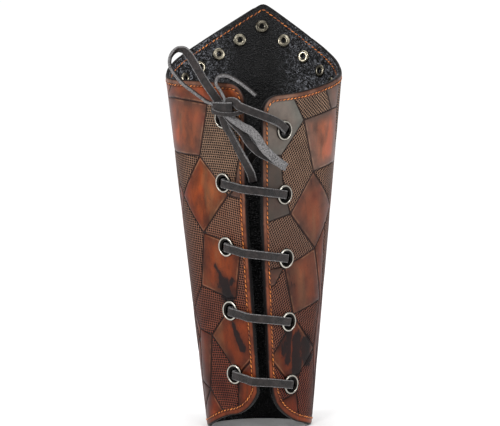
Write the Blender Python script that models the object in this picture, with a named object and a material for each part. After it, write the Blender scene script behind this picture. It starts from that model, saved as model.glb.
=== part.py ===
"""Leather bracer: a wrapped leather wall with a peaked back, a black lining, eyelets, rivets and a lace.

Metres, +Z up. The origin is under the middle of the bracer, at the wrist end that it stands on. The laced
front faces -Y.
"""

import math

import bmesh
import bpy
from mathutils import Vector

MM = 0.001
GAP = 0.3 * MM  # left between pieces that touch on the real bracer
LEFT, RIGHT = -1, 1
VERTICAL = Vector((0.0, 0.0, 1.0))

# Outline of the wall
PEAK_HEIGHT = 249.5 * MM
SIDE_HEIGHT = 210.0 * MM
PEAK_SHIFT = 6.0 * MM  # the peak stands this far right of the back's middle
PEAK_ROUNDING = 2.5 * MM
PEAK_BOW = 0.4  # how much steeper the top edge falls at the peak than on average
FRONT_DROP = 6.0 * MM  # fall of the top edge from the sides to the front corners
FRONT_DROP_POWER = 2.0
WRIST_RISE_LEFT = 6.0 * MM  # rise of the bottom edge from the side to the front corner
WRIST_RISE_RIGHT = 9.5 * MM
FLAP_SKEW = 3.7 * MM  # the left flap is laced this much high, the right one this much low
SKEW_SHARE = 0.7  # of the way from the side to the flap's edge, where the skew is whole
TOP_CORNER = 12.0 * MM
WRIST_CORNER = 24.0 * MM
BACK_SLOPE = math.radians(25.0)  # average fall of the back's top edge, along which the rivets are spaced

# Cross-section, as shares of the half width where they are arcs
HALF_WIDTH_WRIST = 31.4 * MM
HALF_WIDTH_TOP = 53.0 * MM
BACK_RADIUS = 1.15
BACK_TURN = math.radians(40.0)
FLAP_START_TURN = math.radians(132.0)  # heading at which the nearly flat flap starts
FLAP_RADIUS = 8.0
GAP_TOP = 10.8 * MM
GAP_WAIST = 10.2 * MM
GAP_WRIST = 7.0 * MM
GAP_SHIFT_TOP = -0.6 * MM  # the gap's middle, right of the middle plane
GAP_SHIFT_WAIST = -1.5 * MM
GAP_SHIFT_WRIST = 3.7 * MM
GAP_WAIST_AT = 0.62  # share of the sides' height at which the laced gap bends
GAP_BEND = 0.08  # how softly it bends there, as a share of the sides' height
AXIS_FORWARD = 7.8 * MM  # at the wrist end, the section's middle lies this far before that of the whole
LEAN = 0.075  # how far back the whole leans for its height, which puts its weight over the wrist edge

# Walls
LEATHER = 1.7 * MM
LINING = 0.9 * MM
LINING_INSET = 0.4 * MM  # the lining ends this far inside the leather's edge

# Eyelets, rivets and their holes
EYELET_INSET = 17.0 * MM  # from the flap's edge to the eyelet's middle
EYELET_TOP = 183.0 * MM  # height of the highest pair
EYELET_PITCH = 38.0 * MM
EYELET_ROWS = 5
EYELET_OUTER = 6.0 * MM
EYELET_BORE = 3.7 * MM
EYELET_BARREL = 4.5 * MM
EYELET_CREST = 1.3 * MM
EYELET_CLINCH = 5.5 * MM  # radius of the rolled flange inside
CLINCH_CREST = 0.9 * MM
# Profiles from the bore to the rim: share of the way out, share of the crest
EYELET_FACE_SHAPE = ((0.0, 0.6), (0.45, 1.0), (0.85, 0.75), (1.0, 0.0))
CLINCH_SHAPE = ((0.0, 0.6), (0.4, 1.0), (1.0, 0.3), (1.0, 0.0))
RIVET_INSET = 14.0 * MM  # from the top edge down to the rivet's middle
RIVET_SPACING = 16.5 * MM
RIVETS_A_SIDE = 4
RIVET_OUTER = 4.0 * MM
RIVET_CAP = 1.5 * MM
RIVET_SHANK = 2.0 * MM
RIVET_BORE = 1.45 * MM
WASHER_CREST = 0.9 * MM
RIVET_CAP_SHAPE = ((0.0, 1.0), (0.65, 0.8), (1.0, 0.2), (1.0, 0.0))
WASHER_SHAPE = ((0.0, 0.6), (0.37, 1.0), (0.85, 0.7), (1.0, 0.0))
WASHER_SEAT = 0.5 * MM  # the flat washer's middle stands this far off the hollow curve of the lining

# Lace
LACE_WIDTH = 5.0 * MM
LACE_THICKNESS = 1.7 * MM
LACE_BEND = 2.2 * MM
CHORD_PULL = 8.0 * MM  # how far the run across the hollow is led straight out of each bore
LACE_SIDESTEP = 5.8 * MM  # how far a run inside passes beside an eyelet that it skips
LACE_MEETS_WALL = 2.2 * MM  # from the wall to the lace's middle, where a bar crosses the flap's edge
KNOT_HALF = Vector((8.0 * MM, 4.2 * MM, 2.7 * MM))
KNOT_INSET = 12.2 * MM  # from the left flap's edge to the knot's middle
KNOT_ABOVE_EYELET = 7.0 * MM
KNOT_STANDOFF = 5.6 * MM
KNOT_SLIMMING = 0.25  # how much slimmer the knot is at its ends
STRAND_OFF_KNOT = 1.2 * MM  # the strand from the first right eyelet ends this far from the knot
STRAND_UP_KNOT = 2.1 * MM
# A bar from its eyelet to the flap's edge: inset as a share of the eyelet's, share of the way from the wall
# to the height over the eyelets
BAR_SHAPE = ((0.62, 1.0), (0.35, 0.35), (0.0, 0.0))
# The strand from the knot to the first right eyelet: flap, inset as a share, extra lift and rise in mm
STRAND_SHAPE = (
    (LEFT, 0.0, 0.0, 10.2),
    (RIGHT, 0.0, 1.4, 6.0),
    (RIGHT, 0.62, 0.2, 3.6),
)

# Free lace: each route's points from the knot's middle, in millimetres to the right, up and forward,
# with the turn of the flat side away from the front, in degrees
LOOP_UPPER = (
    (-2.6, 4.4, -2.2, 0),
    (-6.2, 9.8, -1.4, 0),
    (-10.5, 16.2, -3.5, 0),
    (-14.5, 23.2, -6.5, 0),
    (-18.5, 29.8, -9.5, 8),
    (-22.0, 33.4, -12.0, 35),
    (-26.5, 33.2, -14.5, 65),
    (-30.0, 29.2, -16.5, 80),
    (-30.3, 23.8, -16.5, 85),
    (-27.0, 18.4, -14.5, 85),
    (-23.0, 13.8, -12.5, 85),
    (-17.0, 9.2, -10.0, 85),
    (-9.0, 3.4, -7.2, 85),
)
LOOP_LOWER = (
    (4.4, -5.3, 3.8, 0),
    (11.5, -10.2, 7.2, 0),
    (16.4, -12.9, 8.8, 0),
    (20.4, -17.3, 9.4, 0),
    (23.6, -22.8, 9.2, 0),
    (28.6, -28.0, 8.2, 0),
    (32.8, -31.8, 7.6, 0),
    (35.3, -33.8, 6.6, 0),
    (36.1, -34.3, 4.6, 0),
    (34.9, -33.5, 2.8, 0),
    (31.8, -31.8, 2.2, 0),
    (28.0, -29.6, 3.0, 0),
    (23.3, -27.2, 4.4, 0),
    (19.3, -24.2, 5.4, 0),
    (15.2, -19.7, 5.4, 0),
    (11.5, -13.8, 4.0, 0),
    (4.4, -6.4, 1.4, 0),
)
TAIL_UPPER = (
    (1.6, 4.9, 0.6, 85),
    (-0.8, 9.6, -1.4, 85),
    (-3.4, 13.8, -2.6, 85),
    (-2.2, 18.0, -2.0, 85),
    (3.0, 18.6, -1.0, 85),
    (9.3, 15.5, 0.5, 85),
    (15.3, 11.0, 1.8, 85),
    (19.7, 7.2, 2.4, 85),
)
TAIL_LOWER = (
    (0.4, -5.7, -0.9, -15),
    (1.9, -10.5, -1.8, -30),
    (5.1, -16.0, -0.8, -44),
    (8.8, -23.4, 2.6, -40),
    (12.6, -30.6, 4.8, -35),
    (15.9, -37.6, 1.6, -50),
    (17.3, -43.2, -3.6, -60),
)

# Mesh fineness
COLUMNS = 40
CORNER_COLUMNS = 7
CORNER_SPAN = 0.22
ROWS = 4
HOLE_SIDES = 12
RIVET_SIDES = 10
FREE_STEPS = 2
BORE_POINTS = 8  # points of a crossing up to the bore's inner end
CHORD_POINTS = 10

LINING_FACE = LEATHER + GAP + LINING  # depth of the innermost face
CUTTER_LENGTH = 12.0 * MM


def lerp(first, last, share):
    return first + (last - first) * share


def smoothstep(share):
    share = min(max(share, 0.0), 1.0)
    return share * share * (3.0 - 2.0 * share)


# The section's three arcs, for a half width of 1
SIDE_RADIUS = (1.0 - BACK_RADIUS * math.sin(BACK_TURN)) / (1.0 - math.sin(BACK_TURN))
BACK_DEPTH = BACK_RADIUS * (1.0 - math.cos(BACK_TURN)) + SIDE_RADIUS * math.cos(BACK_TURN)
FLAP_START = 1.0 - SIDE_RADIUS * (1.0 - math.sin(FLAP_START_TURN))
FLAP_END_TURN = math.pi - math.asin(math.sin(FLAP_START_TURN) - FLAP_START / FLAP_RADIUS)
ARCS = (
    (BACK_RADIUS, BACK_TURN),
    (SIDE_RADIUS, FLAP_START_TURN - BACK_TURN),
    (FLAP_RADIUS, FLAP_END_TURN - FLAP_START_TURN),
)
SIDE_SHARE = BACK_RADIUS * BACK_TURN + SIDE_RADIUS * (math.pi / 2 - BACK_TURN)
MEETING_SHARE = sum(radius * turn for radius, turn in ARCS)
FLAP_SLANT = -math.cos(FLAP_END_TURN)


def half_width(height):
    return lerp(HALF_WIDTH_WRIST, HALF_WIDTH_TOP, height / SIDE_HEIGHT)


def section(share):
    """Place and outward normal on the section of half width 1, at this arc length from the back's middle."""
    side = math.copysign(1, share)
    left = abs(share)
    x, y, heading = 0.0, BACK_DEPTH, 0.0
    for radius, turn in ARCS:
        step = min(left, radius * turn)
        after = heading + step / radius
        x += radius * (math.sin(after) - math.sin(heading))
        y += radius * (math.cos(after) - math.cos(heading))
        left -= step
        heading = after
        if left <= 0.0:
            break
    return Vector((side * x, y, 0.0)), Vector((side * math.sin(heading), math.cos(heading), 0.0))


def bent(low, waist, high, height):
    """A size of the gap that runs straight from low to waist and on to high, softly bent at the waist."""
    below = (waist - low) / GAP_WAIST_AT
    above = (high - waist) / (1 - GAP_WAIST_AT)
    past = height / SIDE_HEIGHT - GAP_WAIST_AT
    return waist + (above + below) / 2 * past + (above - below) / 2 * math.hypot(past, GAP_BEND)


def gap_width(height):
    return bent(GAP_WRIST, GAP_WAIST, GAP_TOP, height)


def edge_share(side, height):
    """Arc share at which the flap of this side ends."""
    middle = bent(GAP_SHIFT_WRIST, GAP_SHIFT_WAIST, GAP_SHIFT_TOP, height)
    across = gap_width(height) / 2 + side * middle
    return MEETING_SHARE - across / (half_width(height) * FLAP_SLANT)


def front_share(side, share, height):
    """0 at the side of the bracer, 1 at the flap's edge."""
    return max(0.0, (abs(share) - SIDE_SHARE) / (edge_share(side, height) - SIDE_SHARE))


def skew(share):
    side = math.copysign(1, share)
    return -side * FLAP_SKEW * smoothstep(front_share(side, share, SIDE_HEIGHT / 2) / SKEW_SHARE)


def wall(share, height, depth=0.0):
    """World point of the wall at this arc share and height, this deep under its outer face."""
    place, normal = section(share)
    level = Vector((0.0, LEAN * height - AXIS_FORWARD, height + skew(share)))
    return place * half_width(height) - normal * depth + level


def wall_normal(share, height):
    """Outward normal that takes the wall's taper into account."""
    step = 0.5 * MM
    along = wall(share + step / half_width(height), height) - wall(share - step / half_width(height), height)
    up = wall(share, height + step) - wall(share, height - step)
    return up.cross(along).normalized()


def corner_cut(distance, radius):
    """How far a rounded corner draws the edge in, at this distance from the flap's edge."""
    inside = min(max(0.0, radius - distance), radius)
    return radius - math.sqrt(radius * radius - inside * inside)


def top_height(share):
    """Height of the top edge, before the skew."""
    side = math.copysign(1, share)
    top_width = half_width(SIDE_HEIGHT)
    edge = edge_share(side, SIDE_HEIGHT)
    if abs(share) < SIDE_SHARE:
        from_peak = abs(share * top_width - PEAK_SHIFT)
        reach = SIDE_SHARE * top_width - side * PEAK_SHIFT
        eased = math.hypot(from_peak, PEAK_ROUNDING) - PEAK_ROUNDING
        part = eased / (math.hypot(reach, PEAK_ROUNDING) - PEAK_ROUNDING)
        return lerp(PEAK_HEIGHT, SIDE_HEIGHT, part * (1 + PEAK_BOW) - PEAK_BOW * part * part)
    forward = front_share(side, share, SIDE_HEIGHT)
    drop = FRONT_DROP * (1 - (1 - min(forward, 1.0)) ** FRONT_DROP_POWER)
    return SIDE_HEIGHT - drop - corner_cut((edge - abs(share)) * top_width, TOP_CORNER)


def wrist_height(share):
    """Height of the bottom edge, before the skew."""
    side = math.copysign(1, share)
    whole_rise = WRIST_RISE_LEFT if side < 0 else WRIST_RISE_RIGHT
    rise = whole_rise * smoothstep(front_share(side, share, SIDE_HEIGHT / 2) / SKEW_SHARE)
    distance = (edge_share(side, 0.0) - abs(share)) * half_width(0.0)
    return rise + corner_cut(distance, WRIST_CORNER)


def column_places():
    """Where the wall's columns stand, from -1 at the left flap's edge to 1 at the right one."""
    corner = [1 - CORNER_SPAN * (step / CORNER_COLUMNS) ** 2 for step in range(CORNER_COLUMNS)]
    plain = 1 - CORNER_SPAN
    middle = [lerp(-plain, plain, step / COLUMNS) for step in range(COLUMNS + 1)]
    return [-place for place in corner] + middle + corner[::-1]


def material(name, colour, roughness, metallic=0.0):
    made = bpy.data.materials.new(name)
    made.use_nodes = True
    shader = made.node_tree.nodes["Principled BSDF"]
    shader.inputs["Base Color"].default_value = (*colour, 1.0)
    shader.inputs["Roughness"].default_value = roughness
    shader.inputs["Metallic"].default_value = metallic
    made.diffuse_color = (*colour, 1.0)
    return made


def finish(name, bm, surface, smooth_angle=35.0):
    """Turns the bmesh into a named object with this material."""
    bm.normal_update()
    bmesh.ops.recalc_face_normals(bm, faces=bm.faces[:])
    mesh = bpy.data.meshes.new(name)
    bm.to_mesh(mesh)
    bm.free()
    mesh.materials.append(surface)
    mesh.shade_smooth()
    mesh.set_sharp_from_angle(angle=math.radians(smooth_angle))
    made = bpy.data.objects.new(name, mesh)
    bpy.context.collection.objects.link(made)
    return made


def build_wall(name, depth, thickness, inset, surface):
    """A wrapped sheet from this depth inwards: a flat grid, extruded, then bent column by column."""
    columns = column_places()
    bm = bmesh.new()
    bmesh.ops.create_grid(bm, x_segments=len(columns) - 1, y_segments=ROWS, size=0.5)
    flat = bmesh.ops.extrude_face_region(bm, geom=bm.faces[:])
    inner = [item for item in flat["geom"] if isinstance(item, bmesh.types.BMVert)]
    bmesh.ops.translate(bm, verts=inner, vec=(0.0, 0.0, 1.0))
    for vert in bm.verts:
        column = columns[round((vert.co.x + 0.5) * (len(columns) - 1))]
        side = math.copysign(1, column)
        up = vert.co.y + 0.5
        share = column * (edge_share(side, SIDE_HEIGHT / 2) - inset / half_width(SIDE_HEIGHT / 2))
        for _ in range(3):
            low = wrist_height(share) + inset
            height = lerp(low, top_height(share) - inset, up)
            share = column * (edge_share(side, height) - inset / half_width(height))
        vert.co = wall(share, height, depth + thickness * vert.co.z)
    return finish(name, bm, surface)


def turned(name, profile, sides, place, axis, surface):
    """A solid turned from (radius, height) points about an axis that points out of the wall."""
    bm = bmesh.new()
    verts = [bm.verts.new((radius, 0.0, height)) for radius, height in profile]
    loop = list(zip(verts, verts[1:]))
    if profile[0][0] > 0.0:
        loop.append((verts[-1], verts[0]))
    edges = [bm.edges.new(pair) for pair in loop]
    bmesh.ops.spin(
        bm, geom=verts + edges, cent=(0, 0, 0), axis=(0, 0, 1), angle=math.tau, steps=sides, use_merge=True
    )
    bmesh.ops.remove_doubles(bm, verts=bm.verts[:], dist=0.001 * MM)
    made = finish(name, bm, surface)
    made.location = place
    made.rotation_euler = Vector(axis).to_track_quat("Z", "Y").to_euler()
    return made


def eyelet_spot(side, row):
    """Arc share and height of an eyelet's middle."""
    height = EYELET_TOP - row * EYELET_PITCH
    return side * (edge_share(side, height) - EYELET_INSET / half_width(height)), height


def rivet_spot(step):
    """Arc share and height of a rivet's middle, this many steps right of the one under the peak."""
    reach = PEAK_SHIFT + step * RIVET_SPACING * math.cos(BACK_SLOPE)
    share = reach / half_width(PEAK_HEIGHT)
    return share, top_height(share) - RIVET_INSET


def shaped(inner, outer, face, crest, shape):
    """Profile points (radius, height) between two radii, rising from this face."""
    return [(lerp(inner, outer, out), face + rise * crest) for out, rise in shape]


def eyelet_profile():
    inside = -(LINING_FACE + GAP)
    cap = shaped(EYELET_BORE, EYELET_OUTER, GAP, EYELET_CREST, EYELET_FACE_SHAPE)
    clinch = shaped(EYELET_BORE, EYELET_CLINCH, inside, -CLINCH_CREST, CLINCH_SHAPE)
    return cap[:1] + clinch + [(EYELET_BARREL, inside), (EYELET_BARREL, GAP)] + cap[:0:-1]


def rivet_profile():
    inside = -(LINING_FACE + WASHER_SEAT)
    cap = shaped(0.0, RIVET_OUTER, GAP, RIVET_CAP, RIVET_CAP_SHAPE)
    washer = shaped(RIVET_BORE, RIVET_OUTER, inside, -WASHER_CREST, WASHER_SHAPE)
    shank = [(RIVET_SHANK, GAP), (RIVET_SHANK, inside)]
    return cap + shank + washer[::-1] + [(RIVET_BORE, -LEATHER / 2), (0.0, -LEATHER / 2)]


def wall_axes(share, height):
    """Unit vectors along the wall, along its height and out of it; the second points down on the left flap."""
    step = math.copysign(0.5 * MM, share) / half_width(height)
    along = (wall(share + step, height) - wall(share - step, height)).normalized()
    out = wall_normal(share, height)
    up = along.cross(out) if share < 0 else out.cross(along)
    return along, up, out


def lace_heights():
    """Height over the outer face of a bar that clears the eyelets, and depth of a run inside that does."""
    clear = GAP + LACE_THICKNESS / 2
    return GAP + EYELET_CREST + clear, LINING_FACE + GAP + CLINCH_CREST + clear


def through_eyelet(spot, outside, inside):
    """Lace from a bend on the outer face, down the bore and round a bend inside, as (point, width) pairs."""
    middle = wall(*spot)
    out = wall_normal(*spot)
    over, under = lace_heights()
    outside = (outside - out * outside.dot(out)).normalized()
    inside = (inside - out * inside.dot(out)).normalized()
    wide_out, wide_in = out.cross(outside), out.cross(inside)
    if wide_out.dot(wide_in) < 0:
        wide_in.negate()
    steps = [math.radians(angle) for angle in (90, 60, 30)]
    bend = [(LACE_BEND * (1 - math.cos(angle)), LACE_BEND * (1 - math.sin(angle))) for angle in steps]
    route = [(middle + outside * aside + out * (over - down), wide_out) for aside, down in bend]
    for step in range(5):
        level = lerp(over - LACE_BEND, LACE_BEND - under, step / 4)
        route.append((middle + out * level, wide_out.lerp(wide_in, step / 4).normalized()))
    route += [(middle + inside * aside + out * (down - under), wide_in) for aside, down in reversed(bend)]
    return route


def bar_point(side, row, inset, lift):
    """Point of a bar across the front in this row, this far in from the flap's edge and this high over it."""
    height = EYELET_TOP - row * EYELET_PITCH
    share = side * (edge_share(side, height) - inset / half_width(height))
    gap = 2 * EYELET_INSET + gap_width(height)
    part = (EYELET_INSET - inset) / gap
    left, right = (skew(end * edge_share(end, height)) for end in (LEFT, RIGHT))
    target = lerp(left, right, part if side < 0 else 1 - part)
    place = wall(share, height, -lift)
    place.z = height + target
    return place


def bar(row):
    """Points of the bar between this row's two bends, from left to right."""
    over, _ = lace_heights()
    rows = [(share * EYELET_INSET, lerp(LACE_MEETS_WALL, over, rise)) for share, rise in BAR_SHAPE]
    left = [bar_point(LEFT, row, inset, lift) for inset, lift in rows]
    right = [bar_point(RIGHT, row, inset, lift) for inset, lift in reversed(rows)]
    return [(point, VERTICAL) for point in left + right]


def inside_run(side, first, last, sidestep):
    """Run along the lining from one row to another, swinging this far away from the gap half-way."""
    _, under = lace_heights()
    start, end = (EYELET_TOP - row * EYELET_PITCH for row in (first, last))
    turn = math.copysign(LACE_BEND, end - start)
    steps = 6 if sidestep else 2
    route = []
    for step in range(1, steps):
        height = lerp(start + turn, end - turn, step / steps)
        inset = EYELET_INSET + sidestep * math.sin(math.pi * step / steps)
        share = side * (edge_share(side, height) - inset / half_width(height))
        along, _, out = wall_axes(share, height)
        route.append((wall(share, height) - out * under, along))
    return route


def chord(start, end):
    """Run straight across the hollow between two eyelets, bending out of each bore."""
    _, under = lace_heights()
    first, second = wall(*start), wall(*end)
    out_first, out_second = wall_normal(*start), wall_normal(*end)
    ends = (first - out_first * under, second - out_second * under)
    pulls = (ends[0] - out_first * CHORD_PULL, ends[1] - out_second * CHORD_PULL)
    route = []
    for step in range(1, CHORD_POINTS):
        part = step / CHORD_POINTS
        a, b, c = ends[0].lerp(pulls[0], part), pulls[0].lerp(pulls[1], part), pulls[1].lerp(ends[1], part)
        route.append((a.lerp(b, part).lerp(b.lerp(c, part), part), VERTICAL))
    return route


def knot_place():
    """Middle of the knot and its axes: along the wall, up it and out of it."""
    share, height = eyelet_spot(LEFT, 0)
    height += KNOT_ABOVE_EYELET
    share = -(edge_share(LEFT, height) - KNOT_INSET / half_width(height))
    axes = wall_axes(share, height)
    return wall(share, height) + axes[2] * KNOT_STANDOFF, axes


def laced_run(eyelets):
    """The lace from the knot to the right eyelet of the first row, down the front and back up to the knot."""
    middle, (along, up, _) = knot_place()
    bars = {row: bar(row) for row in range(1, EYELET_ROWS)}
    spots = {key: wall(*spot) for key, spot in eyelets.items()}
    axes = {key: wall_axes(*spot) for key, spot in eyelets.items()}
    over, _ = lace_heights()

    def crossing(key, inside, inwards=True):
        side, row = key
        bar_end = bars[row][0 if side < 0 else -1][0] if row else middle
        route = through_eyelet(eyelets[key], bar_end - spots[key], inside)
        return route if inwards else route[::-1]

    def plain_bore(key, inwards=True):
        """A crossing whose inner end runs straight on into the hollow."""
        whole = crossing(key, -axes[key][0])[:BORE_POINTS]
        return whole if inwards else whole[::-1]

    def upwards(key, sign):
        return axes[key][1] * sign

    start = middle + along * (KNOT_HALF.x + STRAND_OFF_KNOT) + up * STRAND_UP_KNOT
    route = [(start, VERTICAL)]
    for side, inset, lift, rise in STRAND_SHAPE:
        point = bar_point(side, 0, inset * EYELET_INSET, over + lift * MM)
        point.z += rise * MM
        route.append((point, VERTICAL))
    last = route[-1][0]
    route += through_eyelet(eyelets[RIGHT, 0], last - spots[RIGHT, 0], -axes[RIGHT, 0][0])[:BORE_POINTS]
    route += chord(eyelets[RIGHT, 0], eyelets[LEFT, 1])
    route += plain_bore((LEFT, 1), inwards=False)
    route += bars[1]
    route += crossing((RIGHT, 1), upwards((RIGHT, 1), -1))
    route += inside_run(RIGHT, 1, 3, LACE_SIDESTEP)
    route += crossing((RIGHT, 3), upwards((RIGHT, 3), 1), inwards=False)
    route += bars[3][::-1]
    route += crossing((LEFT, 3), upwards((LEFT, 3), -1))
    route += inside_run(LEFT, 3, 4, 0.0)
    route += crossing((LEFT, 4), upwards((LEFT, 4), 1), inwards=False)
    route += bars[4]
    route += crossing((RIGHT, 4), upwards((RIGHT, 4), 1))
    route += inside_run(RIGHT, 4, 2, -LACE_SIDESTEP)
    route += crossing((RIGHT, 2), upwards((RIGHT, 2), -1), inwards=False)
    route += bars[2][::-1]
    route += crossing((LEFT, 2), upwards((LEFT, 2), 1))
    route += inside_run(LEFT, 2, 0, LACE_SIDESTEP)
    route += crossing((LEFT, 0), upwards((LEFT, 0), -1), inwards=False)
    return route


def free_lace(table):
    """Smooth curve through a route's points, as (point, width) pairs."""
    middle, _ = knot_place()
    forward = Vector((0.0, -1.0, 0.0))
    places = [middle + Vector((right, LEAN * up - ahead, up)) * MM for right, up, ahead, _ in table]
    turns = [math.radians(row[3]) for row in table]
    last = len(places) - 1
    route = []
    for index in range(last):
        before, after = places[max(index - 1, 0)], places[min(index + 2, last)]
        start, end = places[index], places[index + 1]
        for step in range(FREE_STEPS):
            part = step / FREE_STEPS
            one, two, three = start * 2, end - before, before * 2 - start * 5 + end * 4 - after
            four = start * 3 - before - end * 3 + after
            point = (one + two * part + three * part**2 + four * part**3) / 2
            route.append((point, lerp(turns[index], turns[index + 1], part)))
    route.append((places[-1], turns[-1]))
    finished = []
    for index, (point, turn) in enumerate(route):
        ahead = route[min(index + 1, len(route) - 1)][0] - route[max(index - 1, 0)][0]
        flat = ahead.normalized().cross(forward).normalized()
        finished.append((point, flat * math.cos(turn) + forward * math.sin(turn)))
    return finished


def build_knot(surface):
    middle, (along, up, out) = knot_place()
    bm = bmesh.new()
    bmesh.ops.create_uvsphere(bm, u_segments=12, v_segments=7, radius=1.0)
    for vert in bm.verts:
        x, z, y = vert.co
        swell = 1.0 - KNOT_SLIMMING * abs(x) ** 3
        across = up * y * KNOT_HALF.y + out * z * KNOT_HALF.z
        vert.co = middle + along * x * KNOT_HALF.x + across * swell
    return finish("lace_knot", bm, surface, smooth_angle=80.0)


def hole_cutter(name, spots, radius):
    """Rods along the wall's normals, as one hidden cutter."""
    bm = bmesh.new()
    reach = radius / math.cos(math.pi / HOLE_SIDES)  # keeps the flats of the faceted hole at the radius
    for share, height in spots:
        axis = wall_normal(share, height)
        turn = axis.to_track_quat("Z", "Y").to_matrix().to_4x4()
        turn.translation = wall(share, height, LINING_FACE / 2)
        bmesh.ops.create_cone(
            bm,
            cap_ends=True,
            segments=HOLE_SIDES,
            radius1=reach,
            radius2=reach,
            depth=CUTTER_LENGTH,
            matrix=turn,
        )
    mesh = bpy.data.meshes.new(name)
    bm.to_mesh(mesh)
    bm.free()
    cutter = bpy.data.objects.new(name, mesh)
    bpy.context.collection.objects.link(cutter)
    cutter.hide_render = True
    cutter.display_type = "WIRE"
    return cutter


def cut_holes(wall_object, cutters):
    for cutter in cutters:
        cut = wall_object.modifiers.new(cutter.name, "BOOLEAN")
        cut.operation = "DIFFERENCE"
        cut.solver = "EXACT"
        cut.object = cutter


def strip(name, route, surface):
    """A flat lace swept along the route, its width lying along the direction given with each point."""
    bm = bmesh.new()
    last, loops, previous = len(route) - 1, [], None
    for index, (point, width) in enumerate(route):
        along = (route[min(index + 1, last)][0] - route[max(index - 1, 0)][0]).normalized()
        across = (width - along * width.dot(along)).normalized()
        if previous is not None and across.dot(previous) < 0:
            across.negate()
        previous = across
        face = along.cross(across)
        half, thick = across * LACE_WIDTH / 2, face * LACE_THICKNESS / 2
        corners = (point + half + thick, point - half + thick, point - half - thick, point + half - thick)
        loops.append([bm.verts.new(corner) for corner in corners])
    for first, second in zip(loops, loops[1:]):
        for corner in range(4):
            after = (corner + 1) % 4
            bm.faces.new((first[corner], first[after], second[after], second[corner]))
    bm.faces.new(loops[0])
    bm.faces.new(loops[-1])
    return finish(name, bm, surface)


def main():
    for old in list(bpy.data.objects):
        bpy.data.objects.remove(old)
    leather = material("embossed_leather", (0.23, 0.10, 0.055), 0.45)
    black = material("black_lining", (0.012, 0.012, 0.014), 0.6)
    nickel = material("antique_nickel", (0.36, 0.34, 0.31), 0.35, 1.0)
    steel = material("rivet_nickel", (0.5, 0.49, 0.47), 0.35, 1.0)
    cord = material("lace_leather", (0.035, 0.03, 0.03), 0.55)

    shell = build_wall("outer_shell", 0.0, LEATHER, 0.0, leather)
    lining = build_wall("lining", LEATHER + GAP, LINING, LINING_INSET, black)
    eyelets = {(side, row): eyelet_spot(side, row) for side in (LEFT, RIGHT) for row in range(EYELET_ROWS)}
    rivets = {step: rivet_spot(step) for step in range(-RIVETS_A_SIDE, RIVETS_A_SIDE + 1)}
    cutters = (
        hole_cutter("eyelet_holes", eyelets.values(), EYELET_BARREL + GAP),
        hole_cutter("rivet_holes", rivets.values(), RIVET_SHANK + GAP),
    )
    cut_holes(shell, cutters)
    cut_holes(lining, cutters)
    for (side, row), (share, height) in eyelets.items():
        name = f"eyelet_{'left' if side < 0 else 'right'}_{row + 1}"
        turned(name, eyelet_profile(), HOLE_SIDES, wall(share, height), wall_normal(share, height), nickel)
    for step, (share, height) in rivets.items():
        name = "rivet_center" if step == 0 else f"rivet_{'left' if step < 0 else 'right'}_{abs(step)}"
        turned(name, rivet_profile(), RIVET_SIDES, wall(share, height), wall_normal(share, height), steel)
    strip("lace", laced_run(eyelets), cord)
    build_knot(cord)
    strip("loop_upper", free_lace(LOOP_UPPER), cord)
    strip("loop_lower", free_lace(LOOP_LOWER), cord)
    strip("tail_upper", free_lace(TAIL_UPPER), cord)
    strip("tail_lower", free_lace(TAIL_LOWER), cord)


main()
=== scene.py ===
"""Looks of the laced leather bracer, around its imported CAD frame.

Metres, +Z up. The bracer stands on its wrist end and its laced front faces -Y. The wall's and the lace's own
formulas repeat those of the part, so that every piece here lies where its solid does.
"""

import math
import random

import bmesh
import bpy
import numpy as np
from mathutils import Matrix, Vector


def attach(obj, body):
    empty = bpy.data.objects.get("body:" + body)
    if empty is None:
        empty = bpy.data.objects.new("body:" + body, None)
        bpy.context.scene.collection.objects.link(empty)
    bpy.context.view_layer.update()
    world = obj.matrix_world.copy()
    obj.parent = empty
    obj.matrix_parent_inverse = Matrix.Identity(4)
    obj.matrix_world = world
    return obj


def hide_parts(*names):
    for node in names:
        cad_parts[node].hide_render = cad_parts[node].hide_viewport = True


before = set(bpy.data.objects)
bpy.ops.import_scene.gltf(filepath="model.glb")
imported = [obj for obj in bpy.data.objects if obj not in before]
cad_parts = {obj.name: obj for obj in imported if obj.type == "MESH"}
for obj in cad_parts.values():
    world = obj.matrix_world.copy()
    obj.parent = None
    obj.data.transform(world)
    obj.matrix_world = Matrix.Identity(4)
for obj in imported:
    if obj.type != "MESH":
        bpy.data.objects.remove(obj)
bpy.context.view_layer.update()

MM = 0.001
GAP = 0.3 * MM  # left between pieces that touch on the real bracer
LEFT, RIGHT = -1, 1
VERTICAL = Vector((0.0, 0.0, 1.0))

# Outline of the wall
PEAK_HEIGHT = 249.5 * MM
SIDE_HEIGHT = 210.0 * MM
PEAK_SHIFT = 6.0 * MM  # the peak stands this far right of the back's middle
PEAK_ROUNDING = 2.5 * MM
PEAK_BOW = 0.4  # how much steeper the top edge falls at the peak than on average
FRONT_DROP = 6.0 * MM  # fall of the top edge from the sides to the front corners
FRONT_DROP_POWER = 2.0
WRIST_RISE_LEFT = 6.0 * MM  # rise of the bottom edge from the side to the front corner
WRIST_RISE_RIGHT = 9.5 * MM
FLAP_SKEW = 3.7 * MM  # the left flap is laced this much high, the right one this much low
SKEW_SHARE = 0.7  # of the way from the side to the flap's edge, where the skew is whole
TOP_CORNER = 12.0 * MM
WRIST_CORNER = 24.0 * MM
BACK_SLOPE = math.radians(25.0)  # average fall of the back's top edge, along which the rivets are spaced

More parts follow.
